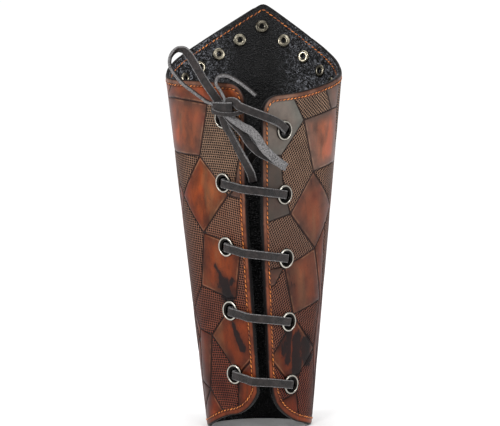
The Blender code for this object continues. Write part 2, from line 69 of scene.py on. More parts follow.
# Cross-section, as shares of the half width where they are arcs
HALF_WIDTH_WRIST = 31.4 * MM
HALF_WIDTH_TOP = 53.0 * MM
BACK_RADIUS = 1.15
BACK_TURN = math.radians(40.0)
FLAP_START_TURN = math.radians(132.0)  # heading at which the nearly flat flap starts
FLAP_RADIUS = 8.0
GAP_TOP = 10.8 * MM
GAP_WAIST = 10.2 * MM
GAP_WRIST = 7.0 * MM
GAP_SHIFT_TOP = -0.6 * MM  # the gap's middle, right of the middle plane
GAP_SHIFT_WAIST = -1.5 * MM
GAP_SHIFT_WRIST = 3.7 * MM
GAP_WAIST_AT = 0.62  # share of the sides' height at which the laced gap bends
GAP_BEND = 0.08  # how softly it bends there, as a share of the sides' height
AXIS_FORWARD = 7.8 * MM  # at the wrist end, the section's middle lies this far before that of the whole
LEAN = 0.075  # how far back the whole leans for its height, which puts its weight over the wrist edge

# Walls
LEATHER = 1.7 * MM
LINING = 0.9 * MM
LINING_INSET = 0.4 * MM  # the lining ends this far inside the leather's edge

# Eyelets, rivets and their holes
EYELET_INSET = 17.0 * MM  # from the flap's edge to the eyelet's middle
EYELET_TOP = 183.0 * MM  # height of the highest pair
EYELET_PITCH = 38.0 * MM
EYELET_ROWS = 5
EYELET_OUTER = 6.0 * MM
EYELET_BORE = 3.7 * MM
EYELET_BARREL = 4.5 * MM
EYELET_CREST = 1.3 * MM
EYELET_CLINCH = 5.5 * MM  # radius of the rolled flange inside
CLINCH_CREST = 0.9 * MM
# Profiles from the bore to the rim: share of the way out, share of the crest
CLINCH_SHAPE = ((0.0, 0.6), (0.4, 1.0), (1.0, 0.3), (1.0, 0.0))
RIVET_INSET = 14.0 * MM  # from the top edge down to the rivet's middle
RIVET_SPACING = 16.5 * MM
RIVETS_A_SIDE = 4
RIVET_OUTER = 4.0 * MM
RIVET_CAP = 1.5 * MM
RIVET_SHANK = 2.0 * MM
RIVET_BORE = 1.45 * MM
WASHER_CREST = 0.9 * MM
RIVET_CAP_SHAPE = ((0.0, 1.0), (0.65, 0.8), (1.0, 0.2), (1.0, 0.0))
WASHER_SHAPE = ((0.0, 0.6), (0.37, 1.0), (0.85, 0.7), (1.0, 0.0))
WASHER_SEAT = 0.5 * MM  # the flat washer's middle stands this far off the hollow curve of the lining

# Lace
LACE_WIDTH = 5.0 * MM
LACE_THICKNESS = 1.7 * MM
LACE_QUARTER = ((1.0, 0.0), (0.97, 0.62), (0.88, 0.95), (0.45, 1.0))
LACE_RAGGED = 0.035  # how far the cut edges waver, as a share of the half width
RAGGED_QUICK, RAGGED_SLOW = 2.3, 0.9  # how fast they waver, in radians a millimetre
LACE_BEND = 2.2 * MM
CHORD_PULL = 8.0 * MM  # how far the run across the hollow is led straight out of each bore
LACE_SIDESTEP = 5.8 * MM  # how far a run inside passes beside an eyelet that it skips
LACE_MEETS_WALL = 2.2 * MM  # from the wall to the lace's middle, where a bar crosses the flap's edge
KNOT_HALF = Vector((8.0 * MM, 4.2 * MM, 2.7 * MM))
KNOT_INSET = 12.2 * MM  # from the left flap's edge to the knot's middle
KNOT_ABOVE_EYELET = 7.0 * MM
KNOT_STANDOFF = 5.6 * MM
WRAP_WIDTH = 7.14 * MM
TUCK_WIDTH = 2.5 * MM
INTO_KNOT = 0.55  # share of the way to the knot's middle that the loops and tails run on
# A bar from its eyelet to the flap's edge: inset as a share of the eyelet's, share of the way from the wall
# to the height over the eyelets
BAR_SHAPE = ((0.62, 1.0), (0.35, 0.35), (0.0, 0.0))
# The strand from the knot to the first right eyelet: flap, inset as a share, extra lift and rise in mm
STRAND_SHAPE = (
    (LEFT, 0.0, 0.0, 10.2),
    (RIGHT, 0.0, 1.4, 6.0),
    (RIGHT, 0.62, 0.2, 3.6),
)

# Free lace: each route's points from the knot's middle, in millimetres to the right, up and forward,
# with the turn of the flat side away from the front, in degrees
LOOP_UPPER = (
    (-2.6, 4.4, -2.2, 0),
    (-6.2, 9.8, -1.4, 0),
    (-10.5, 16.2, -3.5, 0),
    (-14.5, 23.2, -6.5, 0),
    (-18.5, 29.8, -9.5, 8),
    (-22.0, 33.4, -12.0, 35),
    (-26.5, 33.2, -14.5, 65),
    (-30.0, 29.2, -16.5, 80),
    (-30.3, 23.8, -16.5, 85),
    (-27.0, 18.4, -14.5, 85),
    (-23.0, 13.8, -12.5, 85),
    (-17.0, 9.2, -10.0, 85),
    (-9.0, 3.4, -7.2, 85),
)
LOOP_LOWER = (
    (4.4, -5.3, 3.8, 60),
    (11.5, -10.2, 7.2, 45),
    (16.4, -12.9, 8.8, 25),
    (20.4, -17.3, 9.4, 10),
    (23.6, -22.8, 9.2, 0),
    (28.6, -28.0, 8.2, 0),
    (32.8, -31.8, 7.6, 0),
    (35.3, -33.8, 6.6, 0),
    (36.1, -34.3, 4.6, 0),
    (34.9, -33.5, 2.8, 0),
    (31.8, -31.8, 2.2, 0),
    (28.0, -29.6, 3.0, 0),
    (23.3, -27.2, 4.4, 0),
    (19.3, -24.2, 5.4, 0),
    (15.2, -19.7, 5.4, 0),
    (11.5, -13.8, 4.0, 0),
    (4.4, -6.4, 1.4, 0),
)
TAIL_UPPER = (
    (1.6, 4.9, 0.6, 85),
    (-0.8, 9.6, -1.4, 85),
    (-3.4, 13.8, -2.6, 85),
    (-2.2, 18.0, -2.0, 85),
    (3.0, 18.6, -1.0, 85),
    (9.3, 15.5, 0.5, 85),
    (15.3, 11.0, 1.8, 85),
    (19.7, 7.2, 2.4, 85),
)
TAIL_LOWER = (
    (0.4, -5.7, -0.9, -15),
    (1.9, -10.5, -1.8, -30),
    (5.1, -16.0, -0.8, -44),
    (8.8, -23.4, 2.6, -38),
    (12.6, -30.6, 4.8, -28),
    (15.9, -37.6, 1.6, -16),
    (17.3, -43.2, -3.6, -8),
)

# The lace's runs behind the rows: side, row from which and to which it runs, share of the sidestep
INSIDE_RUNS = (
    (RIGHT, 1, 3, 1),
    (LEFT, 3, 4, 0),
    (RIGHT, 4, 2, -1),
    (LEFT, 2, 0, 1),
)
FREE_STEPS = 6
BORE_POINTS = 8  # points of a crossing up to the bore's inner end
CHORD_POINTS = 10

LINING_FACE = LEATHER + GAP + LINING  # depth of the innermost face

# Camera, and the photograph's frame in pixels
FRAME_WIDTH, FRAME_HEIGHT = 500, 426
FOCAL = 3667.0
SENSOR = 36.0
DISTANCE = 2.2
ELEVATION = math.radians(5.5)
ROLL = math.radians(0.94)  # the bracer leans this much to the left in the picture
AIM = Vector((-3.6 * MM, 1.7 * MM, 126.6 * MM))
VIEW = Vector((0.0, math.cos(ELEVATION), -math.sin(ELEVATION)))
LEVEL = Vector((1.0, 0.0, 0.0))
CAMERA_RIGHT = LEVEL * math.cos(ROLL) - LEVEL.cross(VIEW) * math.sin(ROLL)
CAMERA_UP = LEVEL * math.sin(ROLL) + LEVEL.cross(VIEW) * math.cos(ROLL)
EYE = AIM - VIEW * DISTANCE

# Soft lamps: name, place, size and power
LAMPS = (
    ("key", (-0.5, -1.7, 1.4), 0.5, 9.0),
    ("fill", (0.6, -1.7, 1.1), 0.5, 5.0),
    ("left sheen", (-1.55, -0.8, 0.55), 0.26, 11.0),
    ("right sheen", (1.55, -0.8, 0.55), 0.26, 11.0),
)

# Fineness of the meshes
SHELL_COLUMNS, SHELL_ROWS = 330, 226
LINING_COLUMNS, LINING_ROWS = 150, 80
EDGE_CROWDING = 0.7  # how far the wall's columns crowd towards the flaps' edges
HOLE_MARGIN = 0.25 * MM
HIDDEN_COARSENESS = math.radians(0.8)  # how far the leather's unseen inner face may bend in one facet
KNOT_STEPS = 32
TURN_STEPS = 40
ROLLED_RIM = ((0.0, 0.1), (0.3, 0.6), (0.62, 1.0), (0.88, 0.8), (1.0, 0.1))
ROLLED_CREST = 1.0 * MM
EYELET_RUBBED = 4.75 * MM  # radius from which the eyelets' metal is bright; inside it the metal is painted dark as shade round the bore
RUBBED_FADE = 0.35 * MM
RIM_DARK = 0.15  # share of the fade that stays dark at the outermost rim
# How bright each rivet is rubbed, from the left flap's edge to the right one's
RIVET_SHINE = (0.55, 0.7, 0.95, 0.5, 0.4, 0.85, 1.0, 0.35, 0.6)
# The lace's end on the knot and the strand under its wrap, in millimetres right, up and forward of its middle
STRAND_OVER_KNOT = ((1.0, 2.2, 0.8), (3.6, 3.6, 2.6), (6.4, 4.0, 4.2), (8.8, 2.6, 5.3))
KNOT_TUCK = (
    (-5.6, -1.2, -2.4),
    (-4.4, -2.4, -0.4),
    (-1.4, -3.3, 2.4),
    (2.0, -3.6, 4.7),
    (5.6, -3.6, 5.8),
    (9.0, -3.0, 5.4),
    (12.0, -1.9, 3.4),
)

# Tooling of the leather
GROOVE_DEPTH = 0.32 * MM
GROOVE_REACH = 0.9 * MM
PANEL_CROWN = 0.12 * MM  # how far the smooth panels swell between the grooves
SNAP_REACH = 0.42 * MM
EDGE_ROUNDING = 0.3 * MM
EDGE_REACH = 0.8 * MM
HATCH_ACROSS = 1.65 * MM
HATCH_UP = 1.42 * MM
TOOLING = ("seam", "edge", "stain", "flank", "relief", "within")  # values kept on the leather's points
STITCH_INSET = 3.4 * MM
STITCH_PITCH = 2.9 * MM
STITCH_LENGTH = 2.55 * MM
STITCH_RADIUS = 0.27 * MM
STITCH_FLATNESS = 1.15  # width of a stitch as a share of its height off the leather
STITCH_LIFT = 0.05 * MM
STITCH_SLANT = math.radians(14)
STITCH_WANDER = 0.1  # how far a stitch's slant strays, in radians
STITCH_SHORTEST, STITCH_LONGEST = 0.88, 1.08
CORNER_CLEAR = 0.985  # places nearer to the outline than this share of the inset are left out, at its corners
STAIN_CORE = 1.25  # how far over full strength a stain's middle is, so that its core is flat
FLANK_END, FLANK_FADE = 1.42, 0.42  # where the painted plum sheen on the sides ends and how it fades, as shares of the side's arc
SWELL_REACH = 8 * GROOVE_REACH
TOP_PART, SIDE_PART = 0.4, 0.1  # shares of the outline's steps along the top or wrist, and up a flap's edge

# Corners of the tooled panels on the flaps, as right and down in pixels of the photograph's frame
LEFT_CORNERS = {
    "band_side": (168.0, 96.5),
    "band_low": (174.5, 97.5),
    "band_top": (177.0, 76.0),
    "quad_right": (207.0, 104.0),
    "corner_top": (262.0, 72.0),
    "quad_low": (199.5, 156.0),
    "quad_side": (172.0, 148.5),
    "gap_high": (262.0, 110.0),
    "sliver_high": (243.0, 130.0),
    "sliver_low": (233.5, 190.0),
    "diamond_right": (228.0, 195.5),
    "diamond_low": (203.5, 233.0),
    "diamond_left": (183.5, 195.0),
    "sliver_end": (262.0, 203.0),
    "stained_mid": (219.5, 239.0),
    "stained_high": (240.5, 249.0),
    "gap_third": (262.0, 252.0),
    "stained_right": (236.0, 298.0),
    "stained_low": (226.0, 297.5),
    "stained_left": (201.3, 285.5),
    "gap_fourth": (266.0, 312.0),
    "block_side": (195.0, 308.0),
    "block_low": (200.0, 328.0),
    "block_foot": (211.8, 335.0),
    "rust_top": (224.5, 315.0),
    "rust_low": (229.0, 361.0),
    "rust_notch": (242.0, 370.5),
    "gap_fifth": (268.0, 352.0),
    "foot_top": (238.5, 380.0),
    "foot_low": (238.0, 420.0),
    "foot_mid": (224.0, 412.5),
    "foot_left": (210.5, 388.5),
    "grey_top": (202.5, 379.0),
    "grey_foot": (205.8, 408.0),
    "foot_side": (205.8, 432.0),
    "gap_foot": (272.0, 420.0),
    "foot_base": (226.0, 434.0),
    "side_mid": (178.0, 245.0),
    "side_low": (184.0, 302.0),
}
RIGHT_CORNERS = {
    "grey_high": (288.0, 84.0),
    "grey_right": (304.3, 119.8),
    "grey_low": (281.5, 155.5),
    "gap_high": (250.0, 100.0),
    "gap_first": (254.0, 156.0),
    "band_right": (331.5, 109.0),
    "band_top": (322.0, 76.0),
    "band_side": (339.0, 84.0),
    "side_high": (337.0, 106.5),
    "rust_low": (313.5, 171.3),
    "rust_side": (334.5, 159.5),
    "strip_low": (283.0, 181.0),
    "diamond_left": (290.5, 214.0),
    "diamond_right": (329.8, 205.5),
    "diamond_low": (315.0, 248.0),
    "gap_second": (252.0, 226.5),
    "brown_left": (284.5, 266.5),
    "gap_third": (255.0, 272.0),
    "patch_low": (275.0, 285.5),
    "gap_patch": (258.0, 290.0),
    "brown_side": (319.8, 298.8),
    "brown_low": (293.3, 314.5),
    "stained_top": (289.5, 327.0),
    "stained_right": (313.5, 347.5),
    "stained_left": (275.0, 352.0),
    "stained_edge": (272.0, 361.0),
    "notch_low": (286.0, 379.0),
    "stained_low": (299.5, 373.0),
    "foot_top": (296.8, 392.0),
    "foot_left": (278.5, 401.8),
    "foot_base": (300.0, 432.0),
    "gap_fourth": (258.0, 364.0),
    "gap_fifth": (256.0, 410.0),
    "gap_foot": (264.0, 434.0),
    "side_foot": (312.2, 432.0),
}
# Panels: finish, tone from dark to bright, greyness (worn dye and painted sheen), turn of the hatching in
# degrees, corners in order
LEFT_PANELS = (
    ("smooth", 0.7, 0.1, 0, "band_side band_low quad_right gap_high corner_top band_top"),
    ("smooth", 0.66, 0.2, 0, "band_low quad_right quad_low quad_side band_side"),
    ("hatched", 0.60, 0.35, 2, "quad_right quad_low diamond_right sliver_low sliver_high gap_high"),
    ("smooth", 0.50, 0.35, 0, "sliver_high sliver_low diamond_right sliver_end gap_high"),
    ("hatched", 0.40, 0.10, 14, "quad_low quad_side diamond_left"),
    ("smooth", 0.62, 0.0, 0, "quad_low diamond_right diamond_low diamond_left"),
    ("hatched", 0.50, 0.0, 10, "diamond_right sliver_end gap_third stained_high stained_mid diamond_low"),
    ("smooth", 0.34, 0.0, 0, "diamond_low stained_mid stained_high stained_right stained_low stained_left"),
    ("hatched", 0.42, 0.0, 4, "stained_high gap_third gap_fourth rust_top stained_low stained_right"),
    ("hatched", 0.30, 0.0, 12, "stained_left stained_low rust_top block_foot block_low block_side"),
    ("smooth", 0.40, 0.0, 0, "rust_top gap_fourth gap_fifth rust_notch foot_top rust_low block_foot"),
    ("hatched", 0.28, 0.0, 3, "block_foot rust_low foot_top foot_low foot_mid foot_left"),
    ("smooth", 0.80, 0.0, 0, "rust_notch gap_fifth gap_foot foot_base foot_low foot_top"),
    ("smooth", 0.30, 0.2, 0, "block_low block_foot foot_left grey_top"),
    ("smooth", 0.30, 0.6, 0, "grey_top foot_left grey_foot"),
    ("smooth", 0.72, 0.0, 0, "foot_left foot_mid foot_low foot_base foot_side grey_foot"),
    ("hatched", 0.42, 0.1, 12, "diamond_left diamond_low stained_left block_side side_low side_mid"),
)
RIGHT_PANELS = (
    ("smooth", 0.62, 1.0, 0, "gap_high grey_high grey_right grey_low gap_first"),
    ("hatched", 0.45, 0.35, 35, "grey_high band_top band_right grey_right"),
    ("smooth", 0.45, 0.7, 0, "band_top band_side side_high band_right"),
    ("smooth", 0.92, 0.35, 0, "grey_right band_right side_high rust_side rust_low"),
    ("hatched", 0.50, 0.35, 52, "grey_right rust_low diamond_left strip_low grey_low"),
    ("smooth", 0.16, 1.0, 0, "grey_low strip_low diamond_left gap_second gap_first"),
    ("hatched", 0.45, 0.2, 60, "rust_low rust_side diamond_right"),
    ("smooth", 0.32, 0.35, 0, "rust_low diamond_right diamond_low diamond_left"),
    ("hatched", 0.42, 0.45, 52, "diamond_left diamond_low brown_left gap_third gap_second"),
    ("smooth", 0.26, 0.5, 0, "gap_third brown_left patch_low gap_patch"),
    ("smooth", 0.32, 0.25, 0, "brown_left diamond_low brown_side brown_low"),
    (
        "hatched", 0.40, 0.25, 56,
        "brown_left brown_low stained_top stained_left stained_edge gap_fourth gap_patch patch_low",
    ),
    ("hatched", 0.40, 0.15, 62, "brown_low brown_side stained_right"),
    (
        "smooth", 0.60, 0.0, 0,
        "brown_low stained_right stained_low notch_low stained_edge stained_left stained_top",
    ),
    ("hatched", 0.56, 0.1, 58, "stained_right side_foot foot_base foot_top stained_low"),
    ("hatched", 0.50, 0.0, 50, "stained_edge notch_low stained_low foot_top foot_left gap_fifth gap_fourth"),
    ("smooth", 1.0, 0.0, 0, "foot_top foot_base gap_foot gap_fifth foot_left"),
)
PLAIN_PANEL = ("smooth", 0.5, 0.1, 0.0, None)
# Black dye stains: two ends and the half width, in pixels of the photograph's frame, and the strength
LEFT_STAINS = (
    (215.5, 266.0, 221.0, 279.0, 4.5, 1.0),
    (221.0, 277.0, 225.0, 288.0, 9.0, 1.15),
    (224.5, 285.0, 228.0, 296.0, 12.0, 1.3),
    (227.0, 291.0, 232.5, 280.0, 4.5, 1.0),
    (233.0, 324.0, 236.5, 336.0, 5.0, 1.0),
    (236.5, 334.0, 242.0, 347.0, 8.0, 1.15),
)
RIGHT_STAINS = (
    (288.5, 332.0, 288.0, 358.0, 10.0, 1.05),
    (296.5, 338.0, 296.5, 370.0, 10.5, 1.3),
    (304.0, 342.0, 308.0, 360.0, 10.0, 1.2),
    (283.0, 342.0, 286.0, 362.0, 7.0, 0.95),
    (316.0, 126.0, 323.0, 143.0, 5.0, 0.45),
    (290.5, 270.0, 293.5, 298.0, 9.0, 0.62),
    (311.0, 183.0, 315.0, 197.0, 5.0, 0.5),
)
# The panels of the back, as a slanted lattice: heights in millimetres and shares of the arc
BACK_LEVELS = (-20.0, 36.0, 82.0, 128.0, 172.0, 216.0, 262.0)
BACK_SHARES = (-1.62, -1.05, -0.52, 0.04, 0.58, 1.10, 1.62)
BACK_ZIGZAG = 24.0 * MM  # every second corner lies this much higher
BACK_JITTER_ACROSS = 0.17
BACK_JITTER_UP = 6.0 * MM


def lerp(first, last, share):
    return first + (last - first) * share


def smoothstep(share):
    share = min(max(share, 0.0), 1.0)
    return share * share * (3.0 - 2.0 * share)


# The section's three arcs, for a half width of 1
SIDE_RADIUS = (1.0 - BACK_RADIUS * math.sin(BACK_TURN)) / (1.0 - math.sin(BACK_TURN))
BACK_DEPTH = BACK_RADIUS * (1.0 - math.cos(BACK_TURN)) + SIDE_RADIUS * math.cos(BACK_TURN)
FLAP_START = 1.0 - SIDE_RADIUS * (1.0 - math.sin(FLAP_START_TURN))
FLAP_END_TURN = math.pi - math.asin(math.sin(FLAP_START_TURN) - FLAP_START / FLAP_RADIUS)
ARCS = (
    (BACK_RADIUS, BACK_TURN),
    (SIDE_RADIUS, FLAP_START_TURN - BACK_TURN),
    (FLAP_RADIUS, FLAP_END_TURN - FLAP_START_TURN),
)
SIDE_SHARE = BACK_RADIUS * BACK_TURN + SIDE_RADIUS * (math.pi / 2 - BACK_TURN)
MEETING_SHARE = sum(radius * turn for radius, turn in ARCS)
FLAP_SLANT = -math.cos(FLAP_END_TURN)


def half_width(height):
    return lerp(HALF_WIDTH_WRIST, HALF_WIDTH_TOP, height / SIDE_HEIGHT)


def section(share):
    """Place and outward normal on the section of half width 1, at this arc length from the back's middle."""
    side = math.copysign(1, share)
    left = abs(share)
    x, y, heading = 0.0, BACK_DEPTH, 0.0
    for radius, turn in ARCS:
        step = min(left, radius * turn)
        after = heading + step / radius
        x += radius * (math.sin(after) - math.sin(heading))
        y += radius * (math.cos(after) - math.cos(heading))
        left -= step
        heading = after
        if left <= 0.0:
            break
    return Vector((side * x, y, 0.0)), Vector((side * math.sin(heading), math.cos(heading), 0.0))


def bent(low, waist, high, height):
    """A size of the gap that runs straight from low to waist and on to high, softly bent at the waist."""
    below = (waist - low) / GAP_WAIST_AT
    above = (high - waist) / (1 - GAP_WAIST_AT)
    past = height / SIDE_HEIGHT - GAP_WAIST_AT
    return waist + (above + below) / 2 * past + (above - below) / 2 * math.hypot(past, GAP_BEND)


def gap_width(height):
    return bent(GAP_WRIST, GAP_WAIST, GAP_TOP, height)


def edge_share(side, height):
    """Arc share at which the flap of this side ends."""
    middle = bent(GAP_SHIFT_WRIST, GAP_SHIFT_WAIST, GAP_SHIFT_TOP, height)
    across = gap_width(height) / 2 + side * middle
    return MEETING_SHARE - across / (half_width(height) * FLAP_SLANT)


def in_from_edge(side, inset, height):
    """Arc share this far in from the flap's edge."""
    return side * (edge_share(side, height) - inset / half_width(height))


def row_height(row):
    return EYELET_TOP - row * EYELET_PITCH


def front_share(side, share, height):
    """0 at the side of the bracer, 1 at the flap's edge."""
    return max(0.0, (abs(share) - SIDE_SHARE) / (edge_share(side, height) - SIDE_SHARE))


def skew(share):
    side = math.copysign(1, share)
    return -side * FLAP_SKEW * smoothstep(front_share(side, share, SIDE_HEIGHT / 2) / SKEW_SHARE)


def wall(share, height, depth=0.0):
    """World point of the wall at this arc share and height, this deep under its outer face."""
    place, normal = section(share)
    level = Vector((0.0, LEAN * height - AXIS_FORWARD, height + skew(share)))
    return place * half_width(height) - normal * depth + level


def wall_normal(share, height):
    """Outward normal that takes the wall's taper into account."""
    step = 0.5 * MM
    along = wall(share + step / half_width(height), height) - wall(share - step / half_width(height), height)
    up = wall(share, height + step) - wall(share, height - step)
    return up.cross(along).normalized()


def corner_cut(distance, radius):
    """How far a rounded corner draws the edge in, at this distance from the flap's edge."""
    inside = min(max(0.0, radius - distance), radius)
    return radius - math.sqrt(radius * radius - inside * inside)


def top_height(share):
    """Height of the top edge, before the skew."""
    side = math.copysign(1, share)
    top_width = half_width(SIDE_HEIGHT)
    edge = edge_share(side, SIDE_HEIGHT)
    if abs(share) < SIDE_SHARE:
        from_peak = abs(share * top_width - PEAK_SHIFT)
        reach = SIDE_SHARE * top_width - side * PEAK_SHIFT
        eased = math.hypot(from_peak, PEAK_ROUNDING) - PEAK_ROUNDING
        part = eased / (math.hypot(reach, PEAK_ROUNDING) - PEAK_ROUNDING)
        return lerp(PEAK_HEIGHT, SIDE_HEIGHT, part * (1 + PEAK_BOW) - PEAK_BOW * part * part)
    forward = front_share(side, share, SIDE_HEIGHT)
    drop = FRONT_DROP * (1 - (1 - min(forward, 1.0)) ** FRONT_DROP_POWER)
    return SIDE_HEIGHT - drop - corner_cut((edge - abs(share)) * top_width, TOP_CORNER)


def wrist_height(share):
    """Height of the bottom edge, before the skew."""
    side = math.copysign(1, share)
    whole_rise = WRIST_RISE_LEFT if side < 0 else WRIST_RISE_RIGHT
    rise = whole_rise * smoothstep(front_share(side, share, SIDE_HEIGHT / 2) / SKEW_SHARE)
    distance = (edge_share(side, 0.0) - abs(share)) * half_width(0.0)
    return rise + corner_cut(distance, WRIST_CORNER)


def unrolled(share, height):
    """Place on the wall laid out flat: along the arc from the back's middle, and up."""
    return Vector((share * half_width(height), height))


def rolled(place, depth=0.0):
    """World point of a place on the flat wall, this deep under the outer face."""
    return wall(place.x / half_width(place.y), place.y, depth)


def project(point):
    """Right and down of a world point in the photograph's frame, in pixels."""
    offset = point - EYE
    ahead = offset.dot(VIEW)
    right = FRAME_WIDTH / 2 + offset.dot(CAMERA_RIGHT) / ahead * FOCAL
    return right, FRAME_HEIGHT / 2 - offset.dot(CAMERA_UP) / ahead * FOCAL


def on_flap(side, right, down):
    """Unrolled place of the point of this side's flap that is seen here in the photograph's frame."""
    near, far = side * SIDE_SHARE, side * MEETING_SHARE
    pixel = DISTANCE / FOCAL
    height = SIDE_HEIGHT / 2
    for _ in range(20):
        share = (near + far) / 2
        for _ in range(3):
            seen = project(wall(share, height))
            height += (seen[1] - down) * pixel
        if (seen[0] < right) == (side < 0):
            near = share
        else:
            far = share
    return unrolled(share, height)


def back_lattice():
    """Corners and panels of the part of the wall that the photograph doesn't show."""
    chance = random.Random(4)
    corners = [
        [
            unrolled(
                share + chance.uniform(-1, 1) * BACK_JITTER_ACROSS,
                (level * MM + ((row + column) % 2 - 0.5) * BACK_ZIGZAG)
                + chance.uniform(-1, 1) * BACK_JITTER_UP,
            )
            for column, share in enumerate(BACK_SHARES)
        ]
        for row, level in enumerate(BACK_LEVELS)
    ]
    panels = []
    for row in range(len(BACK_LEVELS) - 1):
        for column in range(len(BACK_SHARES) - 1):
            ring = [corners[row][column], corners[row][column + 1]]
            ring += [corners[row + 1][column + 1], corners[row + 1][column]]
            finish_name = "hatched" if (row + column) % 2 else "smooth"
            tone = chance.uniform(0.35, 0.75)
            panels.append((finish_name, tone, chance.uniform(0.0, 0.15), chance.uniform(0, 60), ring))
    return panels


def flap_panels():
    """The front's panels with their corners on the unrolled wall."""
    panels = []
    for side, corners, rows in ((LEFT, LEFT_CORNERS, LEFT_PANELS), (RIGHT, RIGHT_CORNERS, RIGHT_PANELS)):
        places = {name: on_flap(side, *seen) for name, seen in corners.items()}
        for finish_name, tone, greyness, turn, names in rows:
            panels.append((finish_name, tone, greyness, turn, [places[name] for name in names.split()]))
    return panels


def sides_of(ring):
    return list(zip(ring, ring[1:] + ring[:1]))


def panel_lines(panels):
    """Each line between the panels once, though two panels share it."""
    lines = {}
    for panel in panels:
        for start, end in sides_of(panel[4]):
            lines[frozenset((tuple(start), tuple(end)))] = (start, end)
    return list(lines.values())


def distances(points, segments):
    """Distance of each point to the nearest segment, and the nearest place on it."""
    best = np.full(len(points), 1e9)
    nearest = points.copy()
    for start, end in segments:
        start, end = np.array(start), np.array(end)
        along = end - start
        share = np.clip((points - start) @ along / max(along @ along, 1e-12), 0, 1)
        place = start + share[:, None] * along
        away = np.hypot(*(points - place).T)
        closer = away < best
        best[closer] = away[closer]
        nearest[closer] = place[closer]
    return best, nearest


def inside(points, ring):
    """Which of the points lie inside the ring."""
    found = np.zeros(len(points), bool)
    for (x0, y0), (x1, y1) in sides_of([tuple(corner) for corner in ring]):
        crosses = (points[:, 1] < y0) != (points[:, 1] < y1)
        height = y1 - y0 if y1 != y0 else 1e-12
        found ^= crosses & (points[:, 0] < x0 + (points[:, 1] - y0) * (x1 - x0) / height)
    return found


def outline(inset=0.0, steps=64):
    """The wall's outline laid out flat, as a closed ring."""
    ring = []
    for step in range(4 * steps):
        part = step / (4 * steps)
        if part < TOP_PART:
            place, up = lerp(-1, 1, crowded(part / TOP_PART)), 1.0
        elif part < 0.5:
            place, up = 1.0, 1.0 - (part - TOP_PART) / SIDE_PART
        elif part < 0.5 + TOP_PART:
            place, up = lerp(1, -1, crowded((part - 0.5) / TOP_PART)), 0.0
        else:
            place, up = -1.0, (part - 0.5 - TOP_PART) / SIDE_PART
        ring.append(unrolled(*wall_place(place, up, inset)))
    return ring


def crowded(part):
    """A share from 0 to 1 that moves slowly near both ends."""
    return part - EDGE_CROWDING * math.sin(2 * math.pi * part) / (2 * math.pi)


def wall_place(column, up, inset):
    """Arc share and height of a place given as shares: column from -1 to 1 across, up from 0 to 1."""
    side = math.copysign(1, column)
    share = column * (edge_share(side, SIDE_HEIGHT / 2) - inset / half_width(SIDE_HEIGHT / 2))
    for _ in range(3):
        height = lerp(wrist_height(share) + inset, top_height(share) - inset, up)
        share = column * (edge_share(side, height) - inset / half_width(height))
    return share, height


def flat_wall(columns, rows, inset):
    """The wall laid out flat as a grid, x along the arc and y up."""
    bm = bmesh.new()
    bmesh.ops.create_grid(bm, x_segments=columns, y_segments=rows, size=0.5)
    for vert in bm.verts:
        column = lerp(-1, 1, crowded(vert.co.x + 0.5))
        vert.co.xy = unrolled(*wall_place(column, vert.co.y + 0.5, inset))
    return bm


def flat_points(items):
    return np.array([tuple(item.xy) for item in items])


def open_holes(bm, spots, radius):
    """Opens round holes in a flat wall: faces inside go, and the points left at the rim are drawn onto it."""
    centres = [unrolled(*spot) for spot in spots]
    rim = []
    for centre in centres:
        near = [vert for vert in bm.verts if (vert.co.xy - centre).length < radius]
        rim += [(vert, centre) for vert in near]
    hit = {vert for vert, _ in rim}
    gone = [face for face in bm.faces if all(vert in hit for vert in face.verts)]
    bmesh.ops.delete(bm, geom=gone, context="FACES")
    for vert, centre in rim:
        if vert.is_valid and vert.is_boundary:
            vert.co.xy = centre + (vert.co.xy - centre).normalized() * radius


def pierce(bm, eyelets, rivets):
    open_holes(bm, eyelets, EYELET_BARREL + HOLE_MARGIN)
    open_holes(bm, rivets, RIVET_SHANK + HOLE_MARGIN)


def follow_lines(bm, segments):
    """Draws the points that lie close to a tooled line onto it, so that the grooves run clean."""
    verts = [vert for vert in bm.verts if not vert.is_boundary]
    away, nearest = distances(flat_points([vert.co for vert in verts]), segments)
    drawn = set()
    for vert, distance, place in zip(verts, away, nearest):
        if distance < SNAP_REACH:
            vert.co.xy = place
            drawn.add(vert)
    for face in bm.faces[:]:
        ring = face.verts[:]
        if len(ring) == 4:
            for first in (0, 1):
                ends = (ring[first], ring[first + 2])
                others = (ring[first + 1], ring[(first + 3) % 4])
                if all(end in drawn for end in ends) and not all(other in drawn for other in others):
                    bmesh.utils.face_split(face, *ends)
                    break


def tool_relief(bm, segments, stains):
    """Writes distances, stains and relief onto the flat wall's points."""
    points = flat_points([vert.co for vert in bm.verts])
    seam, _ = distances(points, segments)
    edge, _ = distances(points, sides_of(outline()))
    stain = np.zeros(len(points))
    for start, end, reach, strength in stains:
        away, _ = distances(points, [(start, end)])
        stain = np.maximum(stain, strength * np.clip(STAIN_CORE - away / reach, 0, 1))
    layers = {name: bm.verts.layers.float.new(name) for name in TOOLING}
    for vert, from_seam, from_edge, dye in zip(bm.verts, seam, edge, stain):
        round_the_side = abs(vert.co.x) / half_width(vert.co.y) / SIDE_SHARE
        groove = 1 - smoothstep(from_seam / GROOVE_REACH)
        rounding = 1 - smoothstep(from_edge / EDGE_REACH)
        swell = smoothstep(from_seam / SWELL_REACH)
        values = {
            "seam": from_seam / MM,
            "edge": from_edge / MM,
            "stain": dye,
            "flank": smoothstep((FLANK_END - round_the_side) / FLANK_FADE),
            "relief": GROOVE_DEPTH * groove + EDGE_ROUNDING * rounding - PANEL_CROWN * (swell - 1),
        }
        for name, value in values.items():
            vert[layers[name]] = value


